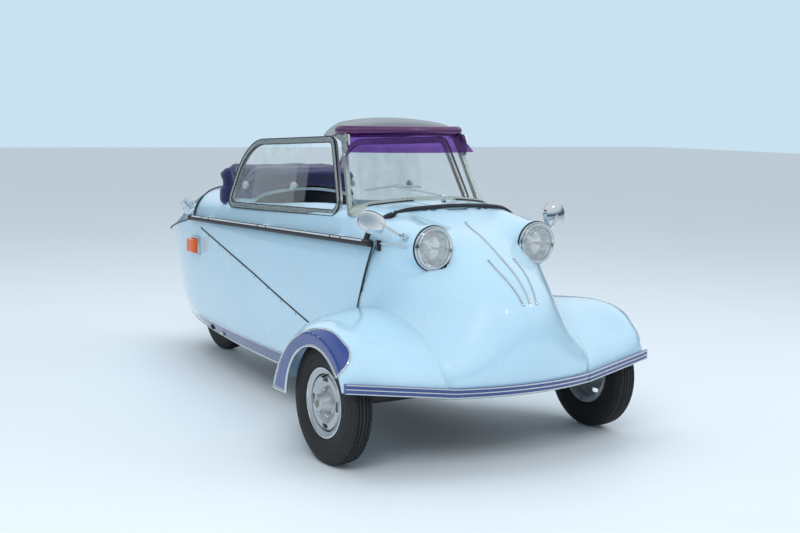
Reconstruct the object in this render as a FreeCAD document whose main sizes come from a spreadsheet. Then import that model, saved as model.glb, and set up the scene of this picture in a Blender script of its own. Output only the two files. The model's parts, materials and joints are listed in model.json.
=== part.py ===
import FreeCAD, Part
import math
import os
from FreeCAD import Vector
import Sketcher

# A three-wheeled tandem bubble car with an open-top hinged canopy.
# Millimetres. Front is -Y, the car's left is +X, the floor is Z = 0.

doc = FreeCAD.newDocument("BubbleCar")
sheet = doc.addObject("Spreadsheet::Sheet", "Sizes")

# Driving dimensions
# name, value
SIZES = (
    ("axle_front_y", 1055), ("axle_rear_y", 972), ("half_track", 552),
    ("tyre_radius", 205), ("tyre_half_width", 43), ("tread_half_width", 28), ("bead_radius", 112),
    ("rim_radius", 115), ("rim_half_width", 33), ("rim_well_radius", 96), ("rim_wall", 4),
    ("hub_radius", 30), ("stub_radius", 12), ("running_fit", 0.08), ("seat_gap", 0.3),
    ("slot_count", 4), ("slot_half_length", 15), ("slot_half_width", 8), ("slot_circle", 78),
    ("kingpin_x", 448), ("kingpin_radius", 9), ("axle_tube_radius", 22),
    ("hub_back", 34), ("hub_front", 44), ("cap_depth", 14), ("disc_face", 14),
    ("bead_half_width", 30), ("tyre_bore", 115.3),
    ("king_radius", 17), ("king_half", 24), ("king_wall", 8),
    ("knuckle_plate", 12), ("knuckle_half", 14), ("saddle_x", 180), ("saddle_width", 40),
    ("wall", 12), ("wing_wall", 6), ("seam_gap", 6),
    ("nose_seam_y", 925), ("belt_front_z", 705), ("belt_rear_z", 661), ("nose_seam_slope", 0.37),
    ("deck_seam_y", 740), ("nose_floor_z", 240), ("floor_z", 150), ("floor_thick", 8),
    ("toe_y", 700), ("floor_rear_y", 432), ("sheet_thick", 6), ("shelf_z", 446),
    ("platform_y", 492), ("platform_z", 457),
    ("cowl_radius", 782), ("cowl_front_y", 949),
    ("rail_radius", 12), ("rail_offset", 17), ("sleeve_radius", 12), ("sleeve_length", 70),
    ("hinge_pin_radius", 6), ("lift_gap", 5), ("leaf_height", 9), ("sill_rise", 8),
    ("lamp_x", 216), ("lamp_y", 1128), ("lamp_z", 702), ("lamp_radius", 69), ("pod_radius", 74),
    ("pod_root_radius", 104), ("pod_length", 200), ("lamp_depth", 60), ("lens_radius", 60),
    ("lamp_rim", 14),
    ("wing_face_x", 625), ("arch_radius", 200), ("bumper_height", 34), ("bumper_depth", 10),
    ("bumper_z", 245), ("bumper_rise", 33), ("bumper_nose_x", 280), ("bumper_nose_y", 1352),
    ("bumper_end_x", 628), ("bumper_end_y", 1258),
    ("pane", 4), ("frame_bar", 20), ("frame_depth", 14), ("screen_top_z", 1088),
    ("screen_rear_y", 548), ("pane_split_y", 95), ("pane_lap", 50), ("dome_wall", 5),
    ("mirror_x", 387), ("mirror_y", 1014), ("mirror_z", 788), ("mirror_radius", 48),
    ("stalk_radius", 5), ("mirror_boss", 11), ("mirror_deep", 24), ("spindle_radius", 9),
    ("wiper_arm_radius", 3.5), ("blade_radius", 4),
    ("column_radius", 12), ("column_foot_y", 1000), ("column_foot_z", 260), ("column_run", 440),
    ("column_rise", 380), ("bar_radius", 10), ("grip_radius", 15), ("bar_half", 150),
    ("dash_y", 800), ("dash_thick", 20), ("dash_low_z", 560), ("dash_top_z", 690),
    ("frame_tube_radius", 11), ("cross_tube_radius", 10), ("frame_z", 172), ("pivot_y", 755),
    ("arm_x", 62), ("arm_thick", 30), ("arm_pivot_end", 40), ("arm_wheel_end", 45),
    ("engine_width", 250), ("engine_length", 250), ("engine_height", 250), ("engine_front_y", 450),
    ("silencer_radius", 42), ("silencer_x", 175), ("silencer_z", 262), ("silencer_length", 250),
    ("seat_width", 420), ("seat_round", 30), ("front_seat_y", 420), ("front_seat_z", 250),
    ("front_seat_depth", 420), ("cushion_thick", 100), ("back_thick", 70), ("front_back_height", 440),
    ("rear_seat_y", 130), ("rear_seat_z", 300), ("rear_seat_depth", 300), ("rear_back_height", 280),
    ("rear_back_width", 400), ("leg", 20), ("leg_x", 150),
    ("hood_width", 492), ("hood_depth", 300), ("hood_height", 165), ("hood_y", 165), ("hood_z", 750),
    ("hood_round", 40), ("hood_roll_width", 556), ("hood_roll_y", 398),
    ("indicator_y", 691), ("indicator_z", 539), ("tail_lamp_x", 75), ("tail_lamp_z", 430),
    ("tail_lamp_radius", 22), ("filler_radius", 26), ("filler_skirt", 8),
)
for row, (name, value) in enumerate(SIZES, start=1):
    sheet.set("A%d" % row, name)
    sheet.set("B%d" % row, str(value))
    sheet.setAlias("B%d" % row, name)
doc.recompute()


def size(name):
    return float(sheet.get(name))


wall = size("wall")
gap = size("seam_gap")
seat_gap = size("seat_gap")
belt_front = Vector(0, -size("nose_seam_y"), size("belt_front_z"))
belt_rear = Vector(0, size("deck_seam_y"), size("belt_rear_z"))
nodes = {}


def keep(node, label):
    # A finished sub-part: its label names its file
    node.Label = label
    nodes[label] = node
    return node


def solid(label, shape, place=None):
    node = doc.addObject("Part::Feature", label)
    node.Shape = shape
    if place is not None:
        node.Placement = place
    return keep(node, label)


def mirrored(shape):
    return shape.mirror(Vector(0, 0, 0), Vector(1, 0, 0))


# Outlines
# A round end in its own plane: from the tip at (0, tip) an arc of the tip radius, then a larger
# arc that reaches (width, base) leaning in by the given angle.
def round_end(width, base, tip, tip_radius, lean):
    sign = 1 if tip > base else -1
    length = abs(tip - base)
    centre = Vector(0, length - tip_radius, 0)
    start = Vector(width, 0, 0)
    inward = Vector(-math.cos(math.radians(lean)), -math.sin(math.radians(lean)), 0)
    delta = start - centre
    big = (tip_radius ** 2 - delta.dot(delta)) / (2 * (delta.dot(inward) + tip_radius))
    big_centre = start + inward * big
    if big > tip_radius:
        join = centre + (centre - big_centre).normalize() * tip_radius
    else:
        join = centre + (big_centre - centre).normalize() * tip_radius
    tip_mid = centre + ((Vector(0, 1, 0) + (join - centre).normalize()).normalize()) * tip_radius
    side_mid = big_centre + ((join - big_centre).normalize() + (start - big_centre).normalize()
                             ).normalize() * big
    return [Vector(p.x, base + sign * p.y, 0) for p in (join, tip_mid, side_mid)]


# A plan section on a plane that tilts from the height at its base line to the height at its tip
def plan_section(width, base, height, tip, tip_height, tip_radius, lean):
    run = math.hypot(tip - base, tip_height - height)
    sign = 1 if tip > base else -1
    along = Vector(0, (tip - base) / run, (tip_height - height) / run)
    origin = Vector(0, base, height)
    join, tip_mid, side_mid = round_end(width, 0, run, tip_radius, lean)

    def place(x, y):
        return origin + Vector(x, 0, 0) + along * y
    right = [place(width, 0), place(side_mid.x, side_mid.y), place(join.x, join.y)]
    left = [place(-p.x, p.y) for p in (Vector(width, 0, 0), side_mid, join)]
    edges = [
        Part.Arc(right[0], right[1], right[2]).toShape(),
        Part.Arc(right[2], place(0, run), left[2]).toShape(),
        Part.Arc(left[2], left[1], left[0]).toShape(),
        Part.LineSegment(left[0], right[0]).toShape(),
    ]
    return Part.Wire(edges)


# A closed section with bowed sides between two cross lines on one tilted plane
def side_section(front_width, front_y, front_z, rear_width, rear_y, rear_z, lean):
    run = math.hypot(rear_y - front_y, rear_z - front_z)
    chord = math.degrees(math.atan((front_width - rear_width) / run))
    turn = math.radians(lean + chord - 2 * chord)
    sagitta = math.hypot(run, front_width - rear_width) / 2 * math.tan(turn / 2)
    front = Vector(front_width, front_y, front_z)
    rear = Vector(rear_width, rear_y, rear_z)
    bow = (front + rear) * 0.5 + Vector(sagitta, 0, 0)

    def flip(p):
        return Vector(-p.x, p.y, p.z)
    edges = [
        Part.Arc(front, bow, rear).toShape(),
        Part.LineSegment(rear, flip(rear)).toShape(),
        Part.Arc(flip(rear), flip(bow), flip(front)).toShape(),
        Part.LineSegment(flip(front), front).toShape(),
    ]
    return Part.Wire(edges)


# A cross-section of the canopy: crown arc, rounded shoulder, then a straight side down to the belt
def hoop_section(y, top, crown_x, crown_z, shoulder, belt_x, belt_z):
    drop = top - crown_z
    radius = (crown_x ** 2 + drop ** 2) / (2 * drop)
    angle = math.asin(crown_x / radius)
    slope = Vector(math.cos(angle), 0, -math.sin(angle))
    crown = Vector(crown_x, y, crown_z)
    corner = crown + slope * shoulder
    belt = Vector(belt_x, y, belt_z)
    down = (belt - corner).normalize()
    side = corner + down * shoulder
    bisector = (corner * 2 - crown - side).normalize()
    half = math.acos(max(-1, min(1, slope.dot(down)))) / 2
    bend = shoulder / math.tan(half)
    mid = corner - bisector * (bend / math.cos(half) - bend)
    right = [crown, mid, side, belt]
    left = [Vector(-p.x, p.y, p.z) for p in right]
    edges = [
        Part.Arc(left[0], Vector(0, y, top), right[0]).toShape(),
        Part.Arc(right[0], right[1], right[2]).toShape(),
        Part.LineSegment(right[2], right[3]).toShape(),
        Part.LineSegment(right[3], left[3]).toShape(),
        Part.LineSegment(left[3], left[2]).toShape(),
        Part.Arc(left[2], left[1], left[0]).toShape(),
    ]
    return Part.Wire(edges)


def loft(wires):
    return Part.makeLoft(wires, True, False)


def largest(shape):
    return max(shape.Solids, key=lambda piece: piece.Volume)


# A closed outline of straight sides with rounded corners, from points that carry a radius
def rounded_wire(points, radii):
    count = len(points)
    edges = []
    starts = []
    for i in range(count):
        here = points[i]
        before = (points[i - 1] - here).normalize()
        after = (points[(i + 1) % count] - here).normalize()
        half = before.getAngle(after) / 2
        reach = radii[i] / math.tan(half)
        first = here + before * reach
        last = here + after * reach
        middle = here + (before + after).normalize() * (radii[i] / math.sin(half) - radii[i])
        starts.append((first, middle, last))
    for i in range(count):
        first, middle, last = starts[i]
        edges.append(Part.Arc(first, middle, last).toShape())
        edges.append(Part.LineSegment(last, starts[(i + 1) % count][0]).toShape())
    return Part.Wire(edges)


# A prism across the whole car from an outline in side view
def side_prism(outline, half_width=900):
    points = [Vector(-half_width, y, z) for y, z in outline]
    face = Part.Face(Part.makePolygon(points + points[:1]))
    return face.extrude(Vector(2 * half_width, 0, 0))


def pipe(points, radius, bend):
    # Straight runs with round bends, swept by a circle
    edges = []
    last = points[0]
    for i in range(1, len(points) - 1):
        here = points[i]
        before = (points[i - 1] - here).normalize()
        after = (points[i + 1] - here).normalize()
        half = before.getAngle(after) / 2
        reach = bend / math.tan(half)
        middle = here + (before + after).normalize() * (bend / math.sin(half) - bend)
        edges.append(Part.LineSegment(last, here + before * reach).toShape())
        edges.append(Part.Arc(here + before * reach, middle, here + after * reach).toShape())
        last = here + after * reach
    edges.append(Part.LineSegment(last, points[-1]).toShape())
    spine = Part.Wire(edges)
    start = Part.Wire(Part.makeCircle(radius, points[0], points[1] - points[0]))
    return spine.makePipeShell([start], True, False)


# Body forms
# Nose: height, tip y, tip radius, y where the sides turn parallel, half width
NOSE = (
    (240, -1396, 840, -1267, 326), (345, -1409, 570, -1222, 330), (427, -1409, 300, -1000, 335),
    (530, -1381, 200, -815, 338), (630, -1284, 130, -815, 337), (730, -1093, 150, -815, 328),
    (797, -973, 480, -860, 288), (819, -949, 600, -880, 215),
)
# Side and tail: height and half width at the deck seam, lean there, half width at the nose seam,
# height at the nose, then the tail's tip: y, height and radius
TAIL = (
    (150, 190, 10, 305, 150, 1235, 150, 90),
    (215, 232, 8, 318, 208, 1258, 200, 110),
    (300, 252, 6.5, 327, 296, 1290, 285, 130),
    (400, 264, 5.2, 334, 398, 1305, 370, 140),
    (510, 270, 4, 337, 514, 1318, 450, 145),
    (600, 271, 3.2, 334, 620, 1345, 500, 150),
    (661, 268, 2.6, 325, 705, 1410, 543, 157),
)
# Deck over the tail: height and half width at the seam, lean there, tip y, height and radius
DECK = (
    (702, 259, 8, 1338, 590, 140),
    (737, 239, 10, 1262, 645, 125),
    (765, 212, 12, 1180, 692, 110),
    (786, 175, 14, 1075, 738, 90),
    (800, 121, 16, 940, 778, 66),
    (810, 55, 18, 820, 802, 32),
)
# Canopy: y, crown height, crown edge x and z, shoulder, belt x and z
CANOPY = (
    (-960, 820, 200, 807, 45, 325, 706),
    (-747, 843, 235, 822, 45, 319, 700),
    (-100, 832, 205, 812, 62, 297, 683),
    (365, 822, 185, 802, 74, 281, 671),
    (740, 812, 165, 788, 80, 268, 661),
)
seam_y = -size("nose_seam_y")
deck_y = size("deck_seam_y")
lip_row = TAIL[-1]


def nose_section(height, tip, tip_radius, parallel, width, base):
    reach = abs(tip - parallel)
    side_radius = (width ** 2 + reach ** 2 - 2 * tip_radius * reach) / (2 * (width - tip_radius))
    tip_centre = Vector(0, tip + tip_radius, height)
    side_centre = Vector(width - side_radius, parallel, height)
    between = (side_centre - tip_centre).normalize()
    if side_radius > tip_radius:
        between = between * -1
    join = tip_centre + between * tip_radius
    out = ((join - side_centre).normalize() + Vector(1, 0, 0)).normalize()
    bend = side_centre + out * side_radius
    turn = Vector(width, parallel, height)
    back = Vector(width, base, height)

    def flip(p):
        return Vector(-p.x, p.y, p.z)
    edges = [
        Part.LineSegment(back, turn).toShape(),
        Part.Arc(turn, bend, join).toShape(),
        Part.Arc(join, Vector(0, tip, height), flip(join)).toShape(),
        Part.Arc(flip(join), flip(bend), flip(turn)).toShape(),
        Part.LineSegment(flip(turn), flip(back)).toShape(),
        Part.LineSegment(flip(back), back).toShape(),
    ]
    return Part.Wire(edges)


def nose_solid(inset):
    # The form runs on below its foot, so that a region can trim it there
    wires = []
    rows = ((NOSE[0][0] - 40 + inset,) + NOSE[0][1:],) + NOSE
    base = -size("toe_y") + 45 + inset / 10
    for height, tip, radius, parallel, width in rows:
        low = min(1, max(0, (height - 500) / 150)) * inset
        wires.append(nose_section(height - low, tip + inset, radius - inset, parallel,
                                  width - inset, base))
    return loft(wires)


def side_solid(inset):
    wires = []
    for height, width, lean, front, front_z, tip, tip_z, radius in TAIL:
        wires.append(side_section(front - inset, seam_y - 15, front_z, width - inset, deck_y,
                                  height, lean))
    return loft(wires)


def tail_solid(inset):
    wires = []
    for height, width, lean, front, front_z, tip, tip_z, radius in TAIL:
        wires.append(plan_section(width - inset, deck_y, height, tip - inset, tip_z,
                                  radius - inset, lean))
    return loft(wires)


def deck_solid(inset):
    wires = []
    rows = [(lip_row[0], lip_row[1], lip_row[2], lip_row[5], lip_row[6], lip_row[7])] + list(DECK)
    for height, width, lean, tip, tip_z, radius in rows:
        drop = inset * min(1, max(0, (height - 690) / 60))
        wires.append(plan_section(width - inset, deck_y, height - drop, tip - inset, tip_z - drop,
                                  radius - min(inset, radius / 2), lean))
    return loft(wires)


def canopy_solid(inset):
    wires = []
    for y, top, crown_x, crown_z, shoulder, belt_x, belt_z in CANOPY:
        wires.append(hoop_section(y, top - inset, crown_x - inset, crown_z - inset, shoulder,
                                  belt_x - inset, belt_z - 30))
    return loft(wires)


# Seams in side view
def belt_z(y):
    share = (y - belt_front.y) / (belt_rear.y - belt_front.y)
    return belt_front.z + share * (belt_rear.z - belt_front.z)


high = 1300
low = -100
seam_foot_y = seam_y + (size("belt_front_z") - low) * size("nose_seam_slope")
diagonal = [(664, 668), (642, 621), (40, 490), (-481, 364), (-560, 345)]


def cowl_cylinder(radius):
    centre = Vector(0, -size("cowl_front_y") + size("cowl_radius"), 0)
    return Part.makeCylinder(radius, high, centre)


# Nose shell with the lamp pods
def lamp_pod(side, grow):
    front = Vector(side * size("lamp_x"), -size("lamp_y"), size("lamp_z"))
    return Part.makeCone(size("pod_radius") + grow, size("pod_root_radius") + grow,
                         size("pod_length"), front, Vector(0, 1, 0))


nose_outer = nose_solid(0)
nose_inner = nose_solid(wall)
pods = [lamp_pod(side, 0) for side in (-1, 1)]
nose_floor = size("nose_floor_z")
nose_foot_y = seam_y + (size("belt_front_z") - nose_floor) * size("nose_seam_slope") - gap / 2
ahead_of_seam = side_prism([
    (-1500, nose_floor), (nose_foot_y, nose_floor), (seam_y - gap / 2, size("belt_front_z")),
    (seam_y - gap / 2, high), (-1500, high)])
nose_region = ahead_of_seam.fuse(side_prism([
    (seam_y - gap, size("belt_front_z")), (-700, size("belt_front_z")), (-700, high),
    (seam_y - gap, high)])).cut(cowl_cylinder(size("cowl_radius")).common(
        side_prism([(-1100, size("belt_front_z") - 5), (0, size("belt_front_z") - 5), (0, high),
                    (-1100, high)])))
nose_shell = nose_outer.common(nose_region).cut(nose_inner)
nose_shell = nose_shell.fuse([pod.cut(nose_inner).common(nose_region) for pod in pods])
for side in (-1, 1):
    front = Vector(side * size("lamp_x"), -size("lamp_y") - 1, size("lamp_z"))
    nose_shell = nose_shell.cut(Part.makeCylinder(size("lens_radius") + 2, size("lamp_depth") + 1,
                                                  front, Vector(0, 1, 0)))
    nose_shell = nose_shell.cut(Part.makeCylinder(size("lamp_radius") + 2, size("lamp_depth"),
                                                  front + Vector(0, 1, 0), Vector(0, -1, 0)))
solid("nose_shell", largest(nose_shell))

# Side panels, tail and deck
side_outer = side_solid(0)
side_inner = side_solid(wall)
tail_outer = tail_solid(0)
tail_inner = tail_solid(wall)
deck_outer = deck_solid(0)
deck_inner = deck_solid(wall)
side_ring = side_outer.cut(side_inner)
behind_nose = side_prism([
    (seam_foot_y + gap / 2, low), (seam_y + gap / 2, size("belt_front_z")), (seam_y + gap / 2, high),
    (deck_y, high), (deck_y, low)])
diag_low = [(y, z - gap / 2) for y, z in diagonal]
diag_high = [(y, z + gap / 2) for y, z in diagonal]
below_diagonal = side_prism([(deck_y, low), (deck_y, 900), (diagonal[0][0] + gap / 2, 900)]
                            + [(diag_low[0][0] + gap / 2, 700)] + diag_low[1:]
                            + [(-620, 150), (-620, low)])
above_diagonal = side_prism([(-1000, low), (-1000, 900), (diagonal[0][0] - gap / 2, 900)]
                            + [(diag_high[0][0] - gap / 2, 700)] + diag_high[1:]
                            + [(-640, 150), (-640, low)])
side_panels = side_ring.common(behind_nose)
upper = side_panels.common(above_diagonal)
lower = side_panels.common(below_diagonal)
solid("side_panels", upper)
tail_shell = tail_outer.cut(tail_inner).common(side_prism([
    (deck_y, low), (1500, low), (1500, high), (deck_y, high)]))
solid("tail_shell", lower.fuse(tail_shell))
deck_shell = deck_outer.cut(deck_inner).cut(side_prism([
    (deck_y - 5, low), (deck_y + gap, low), (deck_y + gap, high), (deck_y - 5, high)]))
solid("tail_deck", deck_shell)

# Wings: x, then side-view points: rear foot, start, middle and end of the top arc, front foot
WING = (
    (230, (-470, 205), (-700, 436), (-950, 488), (-1265, 390), (-1362, 250)),
    (320, (-490, 205), (-715, 438), (-960, 485), (-1262, 384), (-1340, 252)),
    (430, (-590, 205), (-790, 442), (-990, 482), (-1228, 398), (-1310, 262)),
    (530, (-670, 205), (-855, 438), (-1035, 476), (-1195, 428), (-1283, 270)),
    (590, (-728, 205), (-895, 424), (-1060, 464), (-1180, 432), (-1267, 277)),
    (size("wing_face_x"), (-772, 205), (-905, 392), (-1035, 436), (-1140, 414), (-1257, 281)),
)


# The middle of the arc that leaves a larger arc smoothly at its end and runs on to a far point
def run_on(arc, end, far):
    across = (arc.Curve.Center - end).normalize()
    chord = far - end
    radius = chord.Length ** 2 / (2 * chord.dot(across))
    centre = end + across * radius
    return centre + ((end + far) * 0.5 - centre).normalize() * radius


def wing_section(row, inset):
    x = row[0]
    points = []
    centre = Vector(0, -size("axle_front_y"), size("tyre_radius"))
    for y, z in row[1:]:
        away = (Vector(0, y, z) - centre).normalize()
        points.append(Vector(x, y, z) - away * inset)
    rear, top_start, top_middle, top_end, front = points
    top = Part.Arc(top_start, top_middle, top_end).toShape()
    edges = [
        Part.Arc(rear, run_on(top, top_start, rear), top_start).toShape(),
        top,
        Part.Arc(top_end, run_on(top, top_end, front), front).toShape(),
    ]
    if inset == 0:
        edges.append(Part.LineSegment(front, rear).toShape())
    else:
        low_front = Vector(x, front.y, 100)
        low_rear = Vector(x, rear.y, 100)
        edges.append(Part.LineSegment(front, low_front).toShape())
        edges.append(Part.LineSegment(low_front, low_rear).toShape())
        edges.append(Part.LineSegment(low_rear, rear).toShape())
    return Part.Wire(edges)


def pair(piece):
    return Part.makeCompound([piece, mirrored(piece)])


wing_wall = size("wing_wall")
axle_y = -size("axle_front_y")
arch_radius = size("arch_radius")
wing_outer = loft([wing_section(row, 0) for row in WING])
WING_INSIDE = WING[:-1] + ((size("wing_face_x") - wing_wall,) + WING[-1][1:],)
wing_inner = loft([wing_section(row, wing_wall) for row in WING_INSIDE])
arch_start = size("half_track") + size("tread_half_width")
arch = Part.makeCylinder(arch_radius, 200, Vector(arch_start, axle_y, size("tyre_radius")),
                         Vector(1, 0, 0))
arch = arch.fuse(Part.makeBox(200, 2 * arch_radius, size("tyre_radius"),
                              Vector(arch_start, axle_y - arch_radius, 0)))
wing = wing_outer.cut(wing_inner).cut(arch).cut(nose_solid(-seat_gap)).cut(side_solid(-seat_gap))
solid("wings", pair(largest(wing)))

# Canopy ring: apron, scuttle and rear panel round the open cockpit
canopy_outer = canopy_solid(0)
scuttle = canopy_solid(-seat_gap)
rail_clear = size("lift_gap")
canopy_region = side_prism([
    (seam_y - 100, belt_z(seam_y - 100) + rail_clear), (deck_y, belt_z(deck_y) + rail_clear),
    (deck_y, high), (seam_y - 100, high)])
behind_cowl = cowl_cylinder(size("cowl_radius") - gap).fuse(
    Part.makeBox(2000, 1500, high, Vector(-1000, -400, 0)))
canopy_shell = canopy_outer.cut(canopy_solid(wall)).common(canopy_region).common(behind_cowl)
# The cockpit opening in plan, right half from the screen's middle to the edge under the hood
OPENING = ((0, -800), (240, -752), (262, -736), (266, -700), (252, 190))


def cockpit_opening():
    right = [Vector(x, y, 600) for x, y in OPENING]
    left = [Vector(-x, y, 600) for x, y in OPENING]
    wire = Part.Wire([
        Part.Arc(left[1], right[0], right[1]).toShape(),
        Part.Arc(right[1], right[2], right[3]).toShape(),
        Part.LineSegment(right[3], right[4]).toShape(),
        Part.LineSegment(right[4], left[4]).toShape(),
        Part.LineSegment(left[4], left[3]).toShape(),
        Part.Arc(left[3], left[2], left[1]).toShape(),
    ])
    return Part.Face(wire).extrude(Vector(0, 0, 600))


# The front corner over the hinge is trimmed in plan, so that it swings clear of the nose
CORNER_TRIM = ((-130, -952), (-390, -822), (-590, -1122), (-330, -1252))
corner_points = [Vector(x, y, 600) for x, y in CORNER_TRIM]
corner = Part.Face(Part.makePolygon(corner_points + corner_points[:1])).extrude(Vector(0, 0, 600))
canopy_shell = largest(canopy_shell.cut(cockpit_opening()).cut(corner))

# Belt rails: straight tubes along both belts. The right one is the canopy's hinge tube.
rail_front = Vector(-TAIL[-1][3] - size("rail_offset"), seam_y, size("belt_front_z"))
rail_rear = Vector(-TAIL[-1][1] - size("rail_offset"), deck_y, size("belt_rear_z"))
rail_length = (rail_rear - rail_front).Length
rail_axis = (rail_rear - rail_front).normalize()
rail_radius = size("rail_radius")
sleeve_length = size("sleeve_length")
SLEEVES = (0.12, 0.5, 0.86)
BRACKETS = (0.02, 0.31, 0.69, 0.96)


def rail_point(share, shift=0):
    return rail_front + rail_axis * (rail_length * share + shift)


plain_rail = Part.makeCylinder(rail_radius, rail_length, rail_front, rail_axis)
for share in BRACKETS:
    foot = Part.makeBox(size("rail_offset") + 2, 2 * rail_radius, rail_radius - 4,
                        rail_point(share) + Vector(0, -rail_radius, 1 - rail_radius))
    plain_rail = plain_rail.fuse(foot)
plain_rail = largest(plain_rail.cut(side_solid(-seat_gap)))
hinge_rail = plain_rail
for share in SLEEVES:
    space = Part.makeCylinder(rail_radius + 1, sleeve_length + 2 * seat_gap,
                              rail_point(share, -seat_gap), rail_axis)
    pin = Part.makeCylinder(size("hinge_pin_radius"), sleeve_length + 2 * gap,
                            rail_point(share, -gap), rail_axis)
    hinge_rail = hinge_rail.cut(space).fuse(pin)
solid("belt_rails", Part.makeCompound([hinge_rail, mirrored(plain_rail)]))

# Hinge sleeves on the canopy, each with a leaf up to the apron
for share in SLEEVES:
    sleeve = Part.makeCylinder(size("sleeve_radius"), sleeve_length, rail_point(share), rail_axis)
    leaf = Part.makeBox(4 * size("rail_offset"), sleeve_length - 2, size("leaf_height"),
                        rail_point(share, 1) + Vector(-gap / 2, 0, gap / 2))
    leaf = largest(leaf.cut(canopy_outer))
    bore = Part.makeCylinder(size("hinge_pin_radius") + size("running_fit"), 2 * sleeve_length,
                             rail_point(share, -sleeve_length / 2), rail_axis)
    canopy_shell = canopy_shell.fuse(sleeve.fuse(leaf).cut(bore))
solid("canopy_ring", canopy_shell)

# Windscreen, seen in plan at the base and at the top: height, side edge, bend, corner, middle y
SCREEN = (
    (812, (289, -676), (287, -728), (258, -764), -822),
    (size("screen_top_z"), (247, -size("screen_rear_y")), (243, -578), (220, -598), -616),
)


def screen_section(z, thick, trim, grow):
    share = (z - SCREEN[0][0]) / (SCREEN[1][0] - SCREEN[0][0])

    def blend(column):
        pair_of = zip(SCREEN[0][column], SCREEN[1][column])
        return [start + (end - start) * share for start, end in pair_of]
    side, bend, corner = blend(1), blend(2), blend(3)
    middle_y = SCREEN[0][4] + (SCREEN[1][4] - SCREEN[0][4]) * share
    end_y = side[1] - trim
    outer = [Vector(side[0] + grow, end_y, z), Vector(bend[0] + grow, bend[1] - grow / 2, z),
             Vector(corner[0] + grow * 0.7, corner[1] - grow * 0.7, z)]
    inner = [Vector(side[0] - thick, end_y, z), Vector(bend[0] - thick, bend[1] + thick / 2, z),
             Vector(corner[0] - thick * 0.7, corner[1] + thick * 0.7, z)]

    def flip(p):
        return Vector(-p.x, p.y, p.z)
    edges = [
        Part.Arc(outer[0], outer[1], outer[2]).toShape(),
        Part.Arc(outer[2], Vector(0, middle_y - grow, z), flip(outer[2])).toShape(),
        Part.Arc(flip(outer[2]), flip(outer[1]), flip(outer[0])).toShape(),
        Part.LineSegment(flip(outer[0]), flip(inner[0])).toShape(),
        Part.Arc(flip(inner[0]), flip(inner[1]), flip(inner[2])).toShape(),
        Part.Arc(flip(inner[2]), Vector(0, middle_y + thick, z), inner[2]).toShape(),
        Part.Arc(inner[2], inner[1], inner[0]).toShape(),
        Part.LineSegment(inner[0], outer[0]).toShape(),
    ]
    return Part.Wire(edges)


def screen_band(low_z, high_z, thick, trim, grow):
    return loft([screen_section(z, thick, trim, grow) for z in (low_z, high_z)])


frame_depth = size("frame_depth")
bar = size("frame_bar")
pane = size("pane")
screen_top = size("screen_top_z")
sill_rise = size("sill_rise")
frame_hole = screen_band(760, screen_top - bar, 60, bar, 60).cut(canopy_solid(-sill_rise))
screen_frame = screen_band(780, screen_top, frame_depth, 0, 0).cut(frame_hole).cut(scuttle)
solid("screen_frame", largest(screen_frame))
pane_back = (frame_depth + pane) / 2
screen_glass = screen_band(760, screen_top - bar - seat_gap, pane_back, bar + seat_gap,
                           pane - pane_back)
solid("screen_glass", largest(screen_glass.cut(canopy_solid(-sill_rise - seat_gap))))

# Side windows: a rounded outline on a plane that leans in
window_front = Vector(292, -580, 775)
window_rear = Vector(272, 340, 738)
window_top = Vector(248, -464, 1050)
window_normal = (window_rear - window_front).cross(window_top - window_front).normalize()
# Corner y, z and radius
WINDOW = ((-645, 773, 50), (388, 735, 40), (262, 1022, 250), (-505, 1056, 55))


def on_window(y, z):
    away = window_normal.y * (y - window_front.y) + window_normal.z * (z - window_front.z)
    return Vector(window_front.x - away / window_normal.x, y, z)


def window_plate(inset, depth, shift):
    wire = rounded_wire([on_window(y, z) for y, z, radius in WINDOW],
                        [radius for y, z, radius in WINDOW])
    if inset:
        wire = wire.makeOffset2D(-inset)
    face = Part.Face(wire)
    face.translate(window_normal * -shift)
    return face.extrude(window_normal * -depth)


window_frame = window_plate(0, frame_depth, 0).cut(window_plate(bar, frame_depth + 2, -1))
window_frame = window_frame.cut(scuttle).cut(screen_band(760, 1100, 40, -seat_gap, 40))
solid("window_frames", pair(largest(window_frame)))
rear_half = Part.makeBox(900, 2000, high, Vector(0, -size("pane_split_y"), 0))
front_half = Part.makeBox(900, 2000, high, Vector(0, size("pane_lap") - size("pane_split_y") - 2000, 0))
rear_pane = window_plate(bar + seat_gap, pane, 2).common(rear_half)
front_pane = window_plate(bar + seat_gap, pane, 2 + pane + seat_gap).common(front_half)
panes = [largest(piece.cut(scuttle)) for piece in (rear_pane, front_pane)]
solid("window_panes", Part.makeCompound(panes + [mirrored(piece) for piece in panes]))

# Header dome over the screen: y, crown height, crown edge x and z, shoulder, foot x and z
HEADER = (
    (-612, 1098, 150, 1094, 20, 195, screen_top + seat_gap),
    (-575, 1118, 170, 1108, 34, 238, screen_top + seat_gap),
    (-500, 1127, 175, 1114, 38, 246, 1062),
    (-420, 1124, 160, 1111, 40, 238, 1058),
    (-350, 1108, 120, 1099, 35, 200, 1054),
    (-315, 1082, 70, 1077, 20, 130, 1051),
)


def header_solid(inset, drop):
    wires = []
    for y, top, crown_x, crown_z, shoulder, foot_x, foot_z in HEADER:
        wires.append(hoop_section(y, top - inset, crown_x - inset, crown_z - inset, shoulder,
                                  foot_x - inset, foot_z - drop))
    return loft(wires)


dome_inside = header_solid(size("dome_wall"), 30).common(
    Part.makeBox(900, HEADER[-1][0] - HEADER[0][0] - 2 * wall, 400,
                 Vector(-450, HEADER[0][0] + wall, 900)))
window_space = pair(window_plate(-seat_gap, frame_depth + 2 * seat_gap, -seat_gap))
header = header_solid(0, 0).cut(dome_inside).cut(window_space)
header = header.cut(screen_band(780, screen_top + seat_gap, frame_depth + seat_gap, 0, seat_gap))
solid("roof_header", largest(header))

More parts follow.
